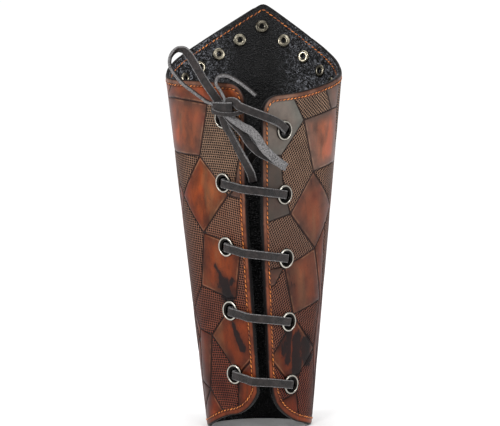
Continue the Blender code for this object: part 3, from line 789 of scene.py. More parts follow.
def tool_panels(bm, panels):
    """Writes each panel's finish and the turn of its hatching onto the flat wall's faces."""
    centres = flat_points([face.calc_center_median() for face in bm.faces])
    owner = np.full(len(centres), -1)
    for index, panel in enumerate(panels):
        owner[inside(centres, panel[4]) & (owner < 0)] = index
    panel_layer = bm.loops.layers.float_color.new("panel")
    hatching = bm.loops.layers.uv.new("hatching")
    for face, index in zip(bm.faces, owner):
        finish_name, tone, greyness, turn, _ = panels[index] if index >= 0 else PLAIN_PANEL
        cos, sin = math.cos(math.radians(turn)), math.sin(math.radians(turn))
        look = (1.0 if finish_name == "hatched" else 0.0, tone, greyness, 1.0)
        for loop in face.loops:
            across, up, _ = loop.vert.co
            loop[panel_layer] = look
            turned_across, turned_up = across * cos + up * sin, up * cos - across * sin
            loop[hatching].uv = (turned_across / HATCH_ACROSS, turned_up / HATCH_UP)


def wrap(bm, first, thickness, coarse_inside=False):
    """Gives a flat wall its thickness and bends it round, its outer face at this depth."""
    relief = bm.verts.layers.float.get("relief")
    within = bm.verts.layers.float.get("within")
    made = bmesh.ops.extrude_face_region(bm, geom=bm.faces[:])
    inner = [item for item in made["geom"] if isinstance(item, bmesh.types.BMVert)]
    for vert in inner:
        vert.co.z = 1.0
        if within:
            vert[within] = 1.0
    for vert in bm.verts:
        depth = first + thickness * vert.co.z
        if relief and vert.co.z < 0.5:
            depth += vert[relief]
        vert.co = rolled(vert.co, depth)
    if coarse_inside:
        hidden = set(inner)
        faces = [face for face in bm.faces if all(vert in hidden for vert in face.verts)]
        covered = set(faces)
        edges = [edge for edge in bm.edges if all(face in covered for face in edge.link_faces)]
        verts = [vert for vert in inner if all(face in covered for face in vert.link_faces)]
        bmesh.ops.dissolve_limit(bm, angle_limit=HIDDEN_COARSENESS, verts=verts, edges=edges)


def linked(name, data):
    made = bpy.data.objects.new(name, data)
    bpy.context.scene.collection.objects.link(made)
    return made


def meshed(name, bm, surface):
    mesh = bpy.data.meshes.new(name)
    bm.to_mesh(mesh)
    bm.free()
    mesh.materials.append(surface)
    return linked(name, mesh)


def piece(name, bm, surface, sharp=35.0, stands_for=()):
    """Turns the bmesh into a piece that rides on the bracer and replaces these nodes."""
    bm.normal_update()
    bmesh.ops.recalc_face_normals(bm, faces=bm.faces[:])
    made = meshed(name, bm, surface)
    made.data.shade_smooth()
    made.data.set_sharp_from_angle(angle=math.radians(sharp))
    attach(made, "root")
    if stands_for:
        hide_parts(*stands_for)
    return made


def bared(start, end, panels, cuts=24):
    """The stretches of a line that these panels don't cover."""
    places = [start.lerp(end, step / cuts) for step in range(cuts + 1)]
    middles = flat_points([one.lerp(two, 0.5) for one, two in zip(places, places[1:])])
    covered = np.zeros(cuts, bool)
    for panel in panels:
        covered |= inside(middles, panel[4])
    stretches = []
    for step in range(cuts):
        if covered[step]:
            continue
        if stretches and stretches[-1][1] == places[step]:
            stretches[-1] = (stretches[-1][0], places[step + 1])
        else:
            stretches.append((places[step], places[step + 1]))
    return stretches


def build_shell(surface, eyelets, rivets):
    front, back = flap_panels(), back_lattice()
    segments = panel_lines(front)
    for start, end in panel_lines(back):
        segments += bared(start, end, front)
    stains = []
    for side, rows in ((LEFT, LEFT_STAINS), (RIGHT, RIGHT_STAINS)):
        for x0, y0, x1, y1, reach, strength in rows:
            start, end = on_flap(side, x0, y0), on_flap(side, x1, y1)
            stains.append((start, end, reach * DISTANCE / FOCAL, strength))
    bm = flat_wall(SHELL_COLUMNS, SHELL_ROWS, 0.0)
    follow_lines(bm, segments)
    pierce(bm, eyelets, rivets)
    tool_relief(bm, segments, stains)
    tool_panels(bm, front + back)
    wrap(bm, 0.0, LEATHER, coarse_inside=True)
    return piece("leather_wall", bm, surface, stands_for=("outer_shell",))


def build_lining(surface, eyelets, rivets):
    bm = flat_wall(LINING_COLUMNS, LINING_ROWS, LINING_INSET)
    pierce(bm, eyelets, rivets)
    wrap(bm, LEATHER + GAP, LINING)
    return piece("black_lining", bm, surface, stands_for=("lining",))


def stitch_places():
    """Places along a ring inside the wall's outline, one for each stitch, with the seam's direction there."""
    ring = outline(steps=300)
    rough = []
    for before, here, after in zip(ring[-1:] + ring[:-1], ring, ring[1:] + ring[:1]):
        way = (after - before).normalized()
        rough.append(here + Vector((way.y, -way.x)) * STITCH_INSET)
    away, _ = distances(flat_points(rough), sides_of(ring))
    kept = [place for place, distance in zip(rough, away) if distance > CORNER_CLEAR * STITCH_INSET]
    lengths = [0.0]
    for start, end in sides_of(kept):
        lengths.append(lengths[-1] + (end - start).length)
    count = round(lengths[-1] / STITCH_PITCH)
    places, index, sides = [], 0, sides_of(kept)
    for step in range(count):
        target = lengths[-1] * step / count
        while lengths[index + 1] < target:
            index += 1
        start, end = sides[index]
        share = (target - lengths[index]) / max(lengths[index + 1] - lengths[index], 1e-9)
        places.append((start.lerp(end, share), (end - start).normalized()))
    return places


def build_stitches(name, surface, depth, outwards):
    """One row of thread, a small drawn-out bead for each stitch; on the lining none shows at the wrist."""
    chance = random.Random(11)
    bm = bmesh.new()
    thread = bpy.data.meshes.new("one_stitch")
    for place, way in stitch_places():
        if outwards < 0 and place.y < 2 * STITCH_INSET:
            continue
        middle = rolled(place, depth)
        along = (rolled(place + way * MM, depth) - middle).normalized()
        out = wall_normal(place.x / half_width(place.y), place.y) * outwards
        across = out.cross(along)
        tilt = Matrix((along, across, out)).transposed().to_4x4()
        turn = Matrix.Rotation(chance.uniform(-STITCH_WANDER, STITCH_WANDER) + STITCH_SLANT, 4, "Z")
        length = STITCH_LENGTH / 2 * chance.uniform(STITCH_SHORTEST, STITCH_LONGEST)
        size = Matrix.Diagonal((length, STITCH_RADIUS * STITCH_FLATNESS, STITCH_RADIUS, 1.0))
        tilt.translation = middle + out * STITCH_LIFT
        bead = bmesh.new()
        bmesh.ops.create_uvsphere(bead, u_segments=8, v_segments=6, radius=1.0, matrix=tilt @ turn @ size)
        bead.to_mesh(thread)
        bead.free()
        bm.from_mesh(thread)
    bpy.data.meshes.remove(thread)
    return piece(name, bm, surface, sharp=80.0)


def catmull(before, start, end, after, part):
    """Point of a smooth curve through start and end, part of the way between them."""
    two, three = before * 2 - start * 5 + end * 4 - after, start * 3 - before - end * 3 + after
    return (start * 2 + (end - before) * part + two * part**2 + three * part**3) / 2


def smooth_curve(points, steps):
    """Divides each stretch between points smoothly; gives its number, the part of the way and the point."""
    last = len(points) - 1
    for index in range(last):
        before, after = points[max(index - 1, 0)], points[min(index + 2, last)]
        for step in range(steps):
            part = step / steps
            yield index, part, catmull(before, points[index], points[index + 1], after, part)


def smooth_profile(points, steps=3):
    points = [Vector(point) for point in points]
    return [point for _, _, point in smooth_curve(points, steps)] + points[-1:]


def shaped(inner, outer, face, crest, shape):
    """Profile points (radius, height) between two radii, rising from this face."""
    return [(lerp(inner, outer, out), face + rise * crest) for out, rise in shape]


def turned(profile, rubbed_from, shine, share, height):
    """A solid turned about the wall's normal here, its metal rubbed bright from this radius out and painted
    dark as shade inside it.
    """
    bm = bmesh.new()
    rubbed_and_bore_shade = bm.verts.layers.float.new("rubbed_and_bore_shade")
    verts = [bm.verts.new((radius, 0.0, level)) for radius, level in profile]
    outermost = max(radius for radius, _ in profile)
    for vert, (radius, _) in zip(verts, profile):
        inner, outer = (radius - rubbed_from) / RUBBED_FADE, (outermost - radius) / RUBBED_FADE - RIM_DARK
        vert[rubbed_and_bore_shade] = shine * smoothstep(inner) * smoothstep(outer)
    pairs = list(zip(verts, verts[1:]))
    if profile[0][0] > 0.0:
        pairs.append((verts[-1], verts[0]))
    edges = [bm.edges.new(pair) for pair in pairs]
    bmesh.ops.spin(
        bm,
        geom=verts + edges,
        cent=(0, 0, 0),
        axis=(0, 0, 1),
        angle=math.tau,
        steps=TURN_STEPS,
        use_merge=True,
    )
    bmesh.ops.remove_doubles(bm, verts=bm.verts[:], dist=0.001 * MM)
    turn = wall_normal(share, height).to_track_quat("Z", "Y").to_matrix().to_4x4()
    turn.translation = wall(share, height)
    bmesh.ops.transform(bm, matrix=turn, verts=bm.verts[:])
    return bm


def build_eyelet(side, row, surface):
    inside_face = -(LINING_FACE + GAP)
    cap = smooth_profile(shaped(EYELET_BORE, EYELET_OUTER, GAP, ROLLED_CREST, ROLLED_RIM))
    clinch = smooth_profile(shaped(EYELET_BORE, EYELET_CLINCH, inside_face, -CLINCH_CREST, CLINCH_SHAPE))
    barrel = [(EYELET_BARREL, inside_face), (EYELET_BARREL, GAP)]
    profile = cap[:1] + clinch + barrel + cap[:0:-1]
    bm = turned(profile, EYELET_RUBBED, 1.0, *eyelet_spot(side, row))
    name = f"eyelet_{'left' if side < 0 else 'right'}_{row + 1}"
    return piece(f"{name}_ring", bm, surface, sharp=50.0, stands_for=(name,))


def build_rivet(step, surface):
    inside_face = -(LINING_FACE + WASHER_SEAT)
    cap = smooth_profile(shaped(0.0, RIVET_OUTER, GAP, RIVET_CAP, RIVET_CAP_SHAPE))
    washer = smooth_profile(shaped(RIVET_BORE, RIVET_OUTER, inside_face, -WASHER_CREST, WASHER_SHAPE))
    shank = [(RIVET_SHANK, GAP), (RIVET_SHANK, inside_face)]
    bore = [(RIVET_BORE, -LEATHER / 2), (0.0, -LEATHER / 2)]
    profile = cap + shank + washer[::-1] + bore
    bm = turned(profile, RIVET_BORE, RIVET_SHINE[step + RIVETS_A_SIDE], *rivet_spot(step))
    name = "rivet_center" if step == 0 else f"rivet_{'left' if step < 0 else 'right'}_{abs(step)}"
    return piece(f"{name}_tube", bm, surface, sharp=50.0, stands_for=(name,))


def smooth_route(route, steps):
    """A route of (point, width direction) pairs with each stretch divided along a smooth curve."""
    smooth = []
    for index, part, point in smooth_curve([point for point, _ in route], steps):
        first, second = route[index][1], route[index + 1][1]
        if first.dot(second) < 0:
            second = -second
        smooth.append((point, first.lerp(second, part).normalized()))
    return smooth + route[-1:]


def lace_section():
    """Points round the lace as shares of its half width and half thickness, mirrored from one quarter."""
    half = LACE_QUARTER + tuple((-wide, deep) for wide, deep in reversed(LACE_QUARTER))
    return half + tuple((-wide, -deep) for wide, deep in half[1:-1])


def strap_frames(route, closed, flip):
    """At each point of a route: the point, the lace's width and face directions, and the length so far."""
    frames, previous, travelled = [], None, 0.0
    last = len(route) - 1
    for index, (point, wide) in enumerate(route):
        before, after = route[max(index - 1, 0)][0], route[min(index + 1, last)][0]
        if closed and index in (0, last):
            before, after = route[-2][0], route[1][0]
        along = (after - before).normalized()
        across = (wide - along * wide.dot(along)).normalized()
        if previous is not None and across.dot(previous) < 0:
            across.negate()
        previous = across
        if index:
            travelled += (point - route[index - 1][0]).length
        frames.append((point, across, along.cross(across) * (-1 if flip else 1), travelled))
    return frames


def build_strap(
    name, route, surface, width=LACE_WIDTH, flip=False, closed=False, two_faced=False, stands_for=()
):
    """A flat lace with rounded edges: a grid, rolled round the section and led along the route."""
    ring, frames = lace_section(), strap_frames(route, closed, flip)
    around, steps = len(ring), len(frames) - 1
    bm = bmesh.new()
    bmesh.ops.create_grid(bm, x_segments=around, y_segments=steps, size=0.5)
    grain_side = bm.verts.layers.float.new("grain_side")
    reach = bm.verts.layers.float.new("reach")
    for vert in bm.verts:
        index = round((vert.co.y + 0.5) * steps)
        wide, deep = ring[round((vert.co.x + 0.5) * around) % around]
        point, across, face, travelled = frames[index]
        vert[grain_side], vert[reach] = abs(deep) if two_faced else deep, wide
        wavering = math.sin(travelled / MM * RAGGED_QUICK + wide) * math.sin(travelled / MM * RAGGED_SLOW)
        sideways = across * wide * (1.0 + LACE_RAGGED * wavering) * width / 2
        vert.co = point + sideways + face * deep * LACE_THICKNESS / 2
    bmesh.ops.remove_doubles(bm, verts=bm.verts[:], dist=0.0005 * MM)
    ends = [edge for edge in bm.edges if edge.is_boundary]
    bmesh.ops.holes_fill(bm, edges=ends, sides=0)
    return piece(name, bm, surface, sharp=60.0, stands_for=stands_for)


def knot_strand(rows):
    """A strand's route from rows in millimetres right, up and forward of the knot's middle."""
    middle, _ = knot_place()
    return [(middle + Vector((right, -ahead, up)) * MM, VERTICAL) for right, up, ahead in rows]


def into_knot(route, back=True):
    """The route with its first end, and its last one too where it comes back, drawn into the knot."""
    middle, _ = knot_place()
    deeper = [(point.lerp(middle, INTO_KNOT), wide) for point, wide in (route[0], route[-1])]
    return deeper[:1] + route + (deeper[1:] if back else [])


def build_bow(surface):
    """The loops and tails, each a strap along its own route."""
    rows = (
        ("loop_upper", LOOP_UPPER, "object", True),
        ("loop_lower", LOOP_LOWER, "object", False),
        ("tail_upper", TAIL_UPPER, "bare", True),
        ("tail_lower", TAIL_LOWER, "bare", True),
    )
    for name, table, far_end, flip in rows:
        route = into_knot(free_lace(table), back=far_end == "object")
        made = build_strap(f"{name}_strap", route, surface, flip=flip, stands_for=(name,))


def build_knot(surface):
    """The knot: one turn of lace laid round its middle."""
    middle, (along, up, out) = knot_place()
    route = []
    for step in range(KNOT_STEPS + 1):
        angle = math.tau * step / KNOT_STEPS
        reach = along * math.cos(angle) * (KNOT_HALF.x - LACE_THICKNESS / 2)
        bulge = out * math.sin(angle) * (KNOT_HALF.z - LACE_THICKNESS / 2)
        route.append((middle + reach + bulge, up))
    build_strap("knot_wrap", route, surface, width=WRAP_WIDTH, closed=True, stands_for=("lace_knot",))


def build_tuck(surface):
    """The strand laid round the front of the knot, whose lower edge shows beneath the wrap."""
    build_strap("knot_tuck", smooth_route(knot_strand(KNOT_TUCK), 5), surface, width=TUCK_WIDTH)


def build_laces(surface, eyelets):
    build_strap("lacing", smooth_route(laced_run(eyelets), 3), surface, two_faced=True, stands_for=("lace",))
    build_knot(surface)
    build_tuck(surface)
    build_bow(surface)


def eyelet_spot(side, row):
    """Arc share and height of an eyelet's middle."""
    height = row_height(row)
    return in_from_edge(side, EYELET_INSET, height), height


def rivet_spot(step):
    """Arc share and height of a rivet's middle, this many steps right of the one under the peak."""
    reach = PEAK_SHIFT + step * RIVET_SPACING * math.cos(BACK_SLOPE)
    share = reach / half_width(PEAK_HEIGHT)
    return share, top_height(share) - RIVET_INSET


def wall_axes(share, height):
    """Unit vectors along the wall, along its height (down on the left flap) and out of it."""
    step = math.copysign(0.5 * MM, share) / half_width(height)
    along = (wall(share + step, height) - wall(share - step, height)).normalized()
    out = wall_normal(share, height)
    up = along.cross(out) if share < 0 else out.cross(along)
    return along, up, out


def lace_heights():
    """Height over the outer face of a bar that clears the eyelets, and depth of a run inside that does."""
    clear = GAP + LACE_THICKNESS / 2
    return GAP + EYELET_CREST + clear, LINING_FACE + GAP + CLINCH_CREST + clear


def through_eyelet(spot, outside, inside):
    """Lace from a bend on the outer face, down the bore and round a bend inside, as (point, width) pairs."""
    middle = wall(*spot)
    out = wall_normal(*spot)
    over, under = lace_heights()
    outside = (outside - out * outside.dot(out)).normalized()
    inside = (inside - out * inside.dot(out)).normalized()
    wide_out, wide_in = out.cross(outside), out.cross(inside)
    if wide_out.dot(wide_in) < 0:
        wide_in.negate()
    steps = [math.radians(angle) for angle in (90, 60, 30)]
    bend = [(LACE_BEND * (1 - math.cos(angle)), LACE_BEND * (1 - math.sin(angle))) for angle in steps]
    route = [(middle + outside * aside + out * (over - down), wide_out) for aside, down in bend]
    for step in range(5):
        level = lerp(over - LACE_BEND, LACE_BEND - under, step / 4)
        route.append((middle + out * level, wide_out.lerp(wide_in, step / 4).normalized()))
    route += [(middle + inside * aside + out * (down - under), wide_in) for aside, down in reversed(bend)]
    return route


def bar_point(side, row, inset, lift):
    """Point of a bar across the front in this row, this far in from the flap's edge and this high over it."""
    height = row_height(row)
    share = in_from_edge(side, inset, height)
    gap = 2 * EYELET_INSET + gap_width(height)
    part = (EYELET_INSET - inset) / gap
    left, right = (skew(end * edge_share(end, height)) for end in (LEFT, RIGHT))
    target = lerp(left, right, part if side < 0 else 1 - part)
    place = wall(share, height, -lift)
    place.z = height + target
    return place


def bar(row):
    """Points of the bar between this row's two bends, from left to right."""
    over, _ = lace_heights()
    rows = [(share * EYELET_INSET, lerp(LACE_MEETS_WALL, over, rise)) for share, rise in BAR_SHAPE]
    left = [bar_point(LEFT, row, inset, lift) for inset, lift in rows]
    right = [bar_point(RIGHT, row, inset, lift) for inset, lift in reversed(rows)]
    return [(point, VERTICAL) for point in left + right]


def inside_run(side, first, last, sidestep):
    """Run along the lining from one row to another, swinging this far away from the gap half-way."""
    _, under = lace_heights()
    start, end = row_height(first), row_height(last)
    turn = math.copysign(LACE_BEND, end - start)
    steps = 6 if sidestep else 2
    route = []
    for step in range(1, steps):
        height = lerp(start + turn, end - turn, step / steps)
        inset = EYELET_INSET + sidestep * math.sin(math.pi * step / steps)
        share = in_from_edge(side, inset, height)
        along, _, out = wall_axes(share, height)
        route.append((wall(share, height) - out * under, along))
    return route


def chord(start, end):
    """Run straight across the hollow between two eyelets, bending out of each bore."""
    _, under = lace_heights()
    first, second = wall(*start), wall(*end)
    out_first, out_second = wall_normal(*start), wall_normal(*end)
    ends = (first - out_first * under, second - out_second * under)
    pulls = (ends[0] - out_first * CHORD_PULL, ends[1] - out_second * CHORD_PULL)
    route = []
    for step in range(1, CHORD_POINTS):
        part = step / CHORD_POINTS
        a, b, c = ends[0].lerp(pulls[0], part), pulls[0].lerp(pulls[1], part), pulls[1].lerp(ends[1], part)
        route.append((a.lerp(b, part).lerp(b.lerp(c, part), part), VERTICAL))
    return route


def knot_place():
    """Middle of the knot and its axes: along the wall, up it and out of it."""
    share, height = eyelet_spot(LEFT, 0)
    height += KNOT_ABOVE_EYELET
    share = in_from_edge(LEFT, KNOT_INSET, height)
    axes = wall_axes(share, height)
    return wall(share, height) + axes[2] * KNOT_STANDOFF, axes


def laced_run(eyelets):
    """The lace from the knot to the right eyelet of the first row, down the front and back up to the knot."""
    middle, _ = knot_place()
    bars = {row: bar(row) for row in range(1, EYELET_ROWS)}
    axes = {key: wall_axes(*spot) for key, spot in eyelets.items()}
    over, _ = lace_heights()

    def crossing(side, row, inside):
        towards = bars[row][0 if side < 0 else -1][0] if row else middle
        return through_eyelet(eyelets[side, row], towards - wall(*eyelets[side, row]), inside)

    route = knot_strand(STRAND_OVER_KNOT)
    for side, inset, lift, rise in STRAND_SHAPE:
        point = bar_point(side, 0, inset * EYELET_INSET, over + lift * MM)
        point.z += rise * MM
        route.append((point, VERTICAL))
    first, second = eyelets[RIGHT, 0], eyelets[LEFT, 1]
    route += through_eyelet(first, route[-1][0] - wall(*first), -axes[RIGHT, 0][0])[:BORE_POINTS]
    route += chord(first, second)
    route += crossing(LEFT, 1, -axes[LEFT, 1][0])[:BORE_POINTS][::-1]
    for side, start, end, swing in INSIDE_RUNS:
        down = math.copysign(1, start - end)
        route += bars[start][::side]
        route += crossing(side, start, axes[side, start][1] * down)
        route += inside_run(side, start, end, swing * LACE_SIDESTEP)
        route += crossing(side, end, axes[side, end][1] * -down)[::-1]
    return route


def free_lace(table):
    """Smooth curve through a route's points, as (point, width) pairs."""
    middle, _ = knot_place()
    forward = Vector((0.0, -1.0, 0.0))
    places = [middle + Vector((right, LEAN * up - ahead, up)) * MM for right, up, ahead, _ in table]
    turns = [math.radians(row[3]) for row in table]
    route = [
        (point, lerp(turns[index], turns[index + 1], part))
        for index, part, point in smooth_curve(places, FREE_STEPS)
    ]
    route.append((places[-1], turns[-1]))
    finished = []
    for index, (point, turn) in enumerate(route):
        ahead = route[min(index + 1, len(route) - 1)][0] - route[max(index - 1, 0)][0]
        flat = ahead.normalized().cross(forward).normalized()
        finished.append((point, flat * math.cos(turn) + forward * math.sin(turn)))
    return finished


def feed(tree, made, inputs):
    """Links or sets a node's inputs."""
    for key, value in inputs.items():
        if isinstance(value, bpy.types.NodeSocket):
            tree.links.new(value, made.inputs[key])
        else:
            made.inputs[key].default_value = value


def node(tree, kind, inputs=None, output=0, **settings):
    """Adds a node with these settings and inputs, and returns one of its outputs."""
    made = tree.nodes.new(kind)
    for key, value in settings.items():
        setattr(made, key, value)
    feed(tree, made, inputs or {})
    return made.outputs[output]


def tree_of(*values):
    """The node tree that the first socket among these values belongs to."""
    return next(value.id_data for value in values if isinstance(value, bpy.types.NodeSocket))


def maths(operation, first, second=0.0):
    return node(tree_of(first, second), "ShaderNodeMath", {0: first, 1: second}, operation=operation)


def times(first, second):
    return maths("MULTIPLY", first, second)


def plus(first, second):
    return maths("ADD", first, second)


def less(first, second):
    return maths("SUBTRACT", first, second)


def ranged(value, ends, **settings):
    return node(tree_of(value), "ShaderNodeMapRange", {"Value": value, **ends}, clamp=True, **settings)


def between(value, low, high):
    """0 where the value is at low, 1 where it is at high, and smooth between."""
    return ranged(value, {"From Min": low, "From Max": high}, interpolation_type="SMOOTHSTEP")


def beyond(value, low, high):
    """1 where the value is at low, 0 where it is at high, and smooth between."""
    return less(1.0, between(value, low, high))


def scaled(value, low, high):
    """A value from 0 to 1 taken to the range from low to high."""
    return ranged(value, {"To Min": low, "To Max": high})


def blended(share, first, second, blend_type="MIX"):
    """Colour between the first and the second."""
    inputs = {0: share, 6: first, 7: second}
    return node(tree_of(share), "ShaderNodeMix", inputs, output=2, data_type="RGBA", blend_type=blend_type)


def coated(base, mask, strength, coat):
    """The base with a coat of another colour, this strong, where the mask is."""
    return blended(times(mask, strength), base, coat)


def colour(red, green, blue):
    """A colour socket's value from sRGB steps of 0 to 255."""
    return tuple(linear(step / 255) for step in (red, green, blue)) + (1.0,)


def linear(step):
    return step / 12.92 if step <= 0.04045 else ((step + 0.055) / 1.055) ** 2.4


def attribute(tree, name, output="Fac"):
    return node(tree, "ShaderNodeAttribute", output=output, attribute_name=name)


def noise(place, scale, detail=3.0, roughness=0.55, distortion=0.0):
    inputs = {"Vector": place, "Scale": scale, "Detail": detail, "Roughness": roughness}
    inputs["Distortion"] = distortion
    return node(tree_of(place), "ShaderNodeTexNoise", inputs, output="Fac")


def group(name, inputs, outputs):
    """An empty shader node group with float inputs and outputs; returns it with its inner input sockets."""
    tree = bpy.data.node_groups.new(name, "ShaderNodeTree")
    for label, kind, value in inputs:
        made = tree.interface.new_socket(label, in_out="INPUT", socket_type=kind)
        if value is not None:
            made.default_value = value
    for label in outputs:
        tree.interface.new_socket(label, in_out="OUTPUT", socket_type="NodeSocketFloat")
    entry = tree.nodes.new("NodeGroupInput")
    return tree, {socket.name: socket for socket in entry.outputs if socket.name}


def group_end(tree, values):
    leave = tree.nodes.new("NodeGroupOutput")
    for label, value in values.items():
        tree.links.new(value, leave.inputs[label])


def grain_group():
    """Leather grain: pebbles of one size with fine pores, as a height, and slow mottling as a mask."""
    rows = (("Place", "NodeSocketVector", None), ("Scale", "NodeSocketFloat", 900.0))
    tree, given = group("leather_grain", rows, ("Height", "Mottling"))
    bent = node(tree, "ShaderNodeVectorMath", {0: given["Place"], 3: given["Scale"]}, operation="SCALE")
    cells = {"Vector": bent, "Scale": 1.0}
    pebbles = node(tree, "ShaderNodeTexVoronoi", cells, output="Distance", feature="DISTANCE_TO_EDGE")
    rounded = between(pebbles, 0.0, 0.35)
    pores = noise(bent, 2.6, detail=4.0, roughness=0.7)
    height = plus(rounded, times(pores, 0.6))
    mottling = noise(given["Place"], 85.0, detail=5.0, roughness=0.62)
    group_end(tree, {"Height": height, "Mottling": mottling})
    return tree


def use_group(tree, shared, inputs):
    made = tree.nodes.new("ShaderNodeGroup")
    made.node_tree = shared
    feed(tree, made, inputs)
    return made.outputs


def surface_material(name, base, roughness, normal=None, **plain):
    """A material whose Principled shader takes linked looks and plain values set on its own sockets."""
    made = bpy.data.materials[name]
    inputs = {"Base Color": base, "Roughness": roughness}
    if normal:
        inputs["Normal"] = normal
    inputs.update({key.replace("_", " "): value for key, value in plain.items()})
    feed(made.node_tree, made.node_tree.nodes["Principled BSDF"], inputs)
    return made


def new_tree(name):
    made = bpy.data.materials.new(name)
    made.use_nodes = True
    return made.node_tree, node(made.node_tree, "ShaderNodeTexCoord", output="Object")


def bump(height, strength, distance):
    inputs = {"Strength": strength, "Distance": distance, "Height": height}
    return node(tree_of(height), "ShaderNodeBump", inputs)


def burnished_rust(place, upright, bright, mottling, cloudy):
    """Smooth panels: burnished dark at the grooves and glowing in the middle, reddened, faded and flecked."""
    deep = blended(cloudy, colour(58, 27, 15), colour(94, 46, 25))
    rust = blended(bright, deep, colour(158, 70, 20))
    rust = coated(rust, between(times(bright, mottling), 0.22, 0.6), 0.8, colour(172, 68, 14))
    rust = coated(rust, between(noise(place, 48.0), 0.5, 0.68), 0.25, colour(138, 44, 18))
    rust = coated(rust, between(noise(upright, 62.0, detail=4.0), 0.52, 0.7), 0.4, colour(112, 84, 56))
    return coated(rust, between(noise(place, 900.0), 0.58, 0.72), 0.4, colour(44, 24, 17))


def hatch_pits(tree):
    """The dark pits that a grid of raised lines leaves between them."""
    hatching = node(tree, "ShaderNodeUVMap", uv_map="hatching")
    split = node(tree, "ShaderNodeSeparateXYZ", {0: hatching}, output="X").node.outputs
    rises = [maths("PINGPONG", split[axis], 0.5) for axis in ("X", "Y")]
    return between(maths("MINIMUM", *rises), 0.02, 0.13)


def hatch_lines(tone, high, cloudy):
    """Raised lines: pale tan high on the flaps, redder towards the wrist."""
    pale = blended(tone, colour(140, 98, 78), colour(226, 178, 142))
    pale = coated(pale, cloudy, 0.5, colour(114, 78, 60))
    return blended(high, blended(cloudy, colour(140, 70, 54), colour(182, 104, 76)), pale)


def grey_wear_and_sheen(hatched, pits, tone, cloudy):
    """Panels painted olive grey: partly dye worn grey, partly painted sheen."""
    grey = blended(times(tone, scaled(cloudy, 0.7, 1.0)), colour(42, 40, 37), colour(116, 118, 112))
    grey = blended(hatched, grey, colour(140, 128, 112))
    return coated(grey, times(pits, hatched), 0.97, colour(12, 11, 10))


def seam_margin(high, cloudy):
    """The strip outside the stitches: brown at the top, rust at the wrist."""
    brown = blended(cloudy, colour(70, 44, 34), colour(116, 82, 66))
    rust = blended(cloudy, colour(98, 50, 30), colour(148, 80, 46))
    return blended(high, rust, brown)


def dye_stains(tree, upright):
    """Where black dye has soaked in, with ragged edges."""
    stain = attribute(tree, "stain")
    ragged = plus(stain, scaled(noise(upright, 340.0, 8.0, 0.68), -1.0, 1.0))
    return maths("MAXIMUM", between(ragged, 0.45, 0.95), times(stain, 0.6))


def tooled_leather(grain):
    """Burnished rust leather with hatched panels, dark grooves, dye stains and a painted edge; with painted
    highlights beside the grooves, painted sheen on the sides and the grey panels, and painted shade towards
    the wrist.
    """
    tree, place = new_tree("tooled_leather")
    looks = use_group(tree, grain, {"Place": place, "Scale": 1500.0})
    mottling = looks["Mottling"]
    cloudy = between(mottling, 0.34, 0.66)
    seam, edge, flank = attribute(tree, "seam"), attribute(tree, "edge"), attribute(tree, "flank")
    panel = node(tree, "ShaderNodeSeparateColor", {0: attribute(tree, "panel", "Color")}, output="Red")
    hatched, tone, greyness = panel.node.outputs
    inside_stitch = between(edge, 3.9, 4.7)
    hatched = times(hatched, inside_stitch)
    high = between(node(tree, "ShaderNodeSeparateXYZ", {0: place}, output="Z"), 0.02, 0.19)
    upright = node(tree, "ShaderNodeMapping", {"Vector": place, "Scale": (1.0, 1.0, 0.4)})
    streaks = noise(upright, 110.0, detail=6.0, roughness=0.58, distortion=0.4)
    bright = times(between(seam, 0.2, 9.0), between(streaks, 0.22, 0.76))
    bright = times(bright, scaled(tone, 0.2, 1.25))

    # Panels, with a painted highlight: a light broken line beside each groove
    rust = burnished_rust(place, upright, bright, mottling, cloudy)
    groove_highlight = times(between(seam, 0.6, 0.9), beyond(seam, 1.0, 1.7))
    broken = scaled(between(mottling, 0.42, 0.66), 0.0, 0.5)
    rust = blended(times(times(groove_highlight, inside_stitch), broken), rust, colour(158, 122, 92))
    pits = hatch_pits(tree)
    body = blended(hatched, rust, blended(pits, hatch_lines(tone, high, cloudy), colour(7, 4, 3)))
    # Greyness paints worn grey dye together with painted sheen
    grey = grey_wear_and_sheen(hatched, pits, tone, cloudy)
    body = blended(times(greyness, scaled(streaks, 0.65, 1.05)), body, grey)
    # Painted sheen: a plum tint on the sides, darker in the hatching's pits
    plum_sheen = blended(times(pits, hatched), colour(88, 54, 56), colour(20, 12, 14))
    side_sheen = times(flank, scaled(high, 0.75, 0.5))
    body = blended(times(side_sheen, scaled(mottling, 0.6, 1.1)), body, plum_sheen)

    # Grooves, stains, the seam, painted shade towards the wrist and the painted edge
    groove = times(beyond(seam, 0.15, 0.8), inside_stitch)
    body = coated(body, groove, 0.92, colour(26, 16, 15))
    body = coated(body, dye_stains(tree, upright), 0.95, colour(17, 14, 17))
    body = coated(body, beyond(edge, 3.0, 3.8), 0.85, seam_margin(high, cloudy))
    furrow = beyond(maths("ABSOLUTE", less(edge, STITCH_INSET / MM)), 0.25, 1.3)
    body = coated(body, furrow, 0.7, colour(40, 22, 17))
    body = coated(body, beyond(edge, 0.2, 1.6), 0.55, colour(40, 26, 22))
    # Painted shade: darker and redder towards the wrist
    body = blended(scaled(high, 0.6, 0.0), body, colour(180, 130, 118), blend_type="MULTIPLY")
    painted = maths("MAXIMUM", between(attribute(tree, "within"), 0.08, 0.3), beyond(edge, 0.3, 0.8))
    body = blended(painted, body, colour(20, 17, 17))

    relief = plus(times(less(1.0, pits), hatched), times(looks["Height"], 0.08))
    relief = plus(relief, times(streaks, 0.5))
    relief = less(less(relief, times(groove, 1.2)), times(furrow, 0.9))
    roughness = plus(scaled(hatched, 0.34, 0.48), scaled(streaks, -0.1, 0.16))
    normal = bump(relief, 0.8, 0.25 * MM)
    return surface_material("tooled_leather", body, roughness, normal, Specular_IOR_Level=0.1)


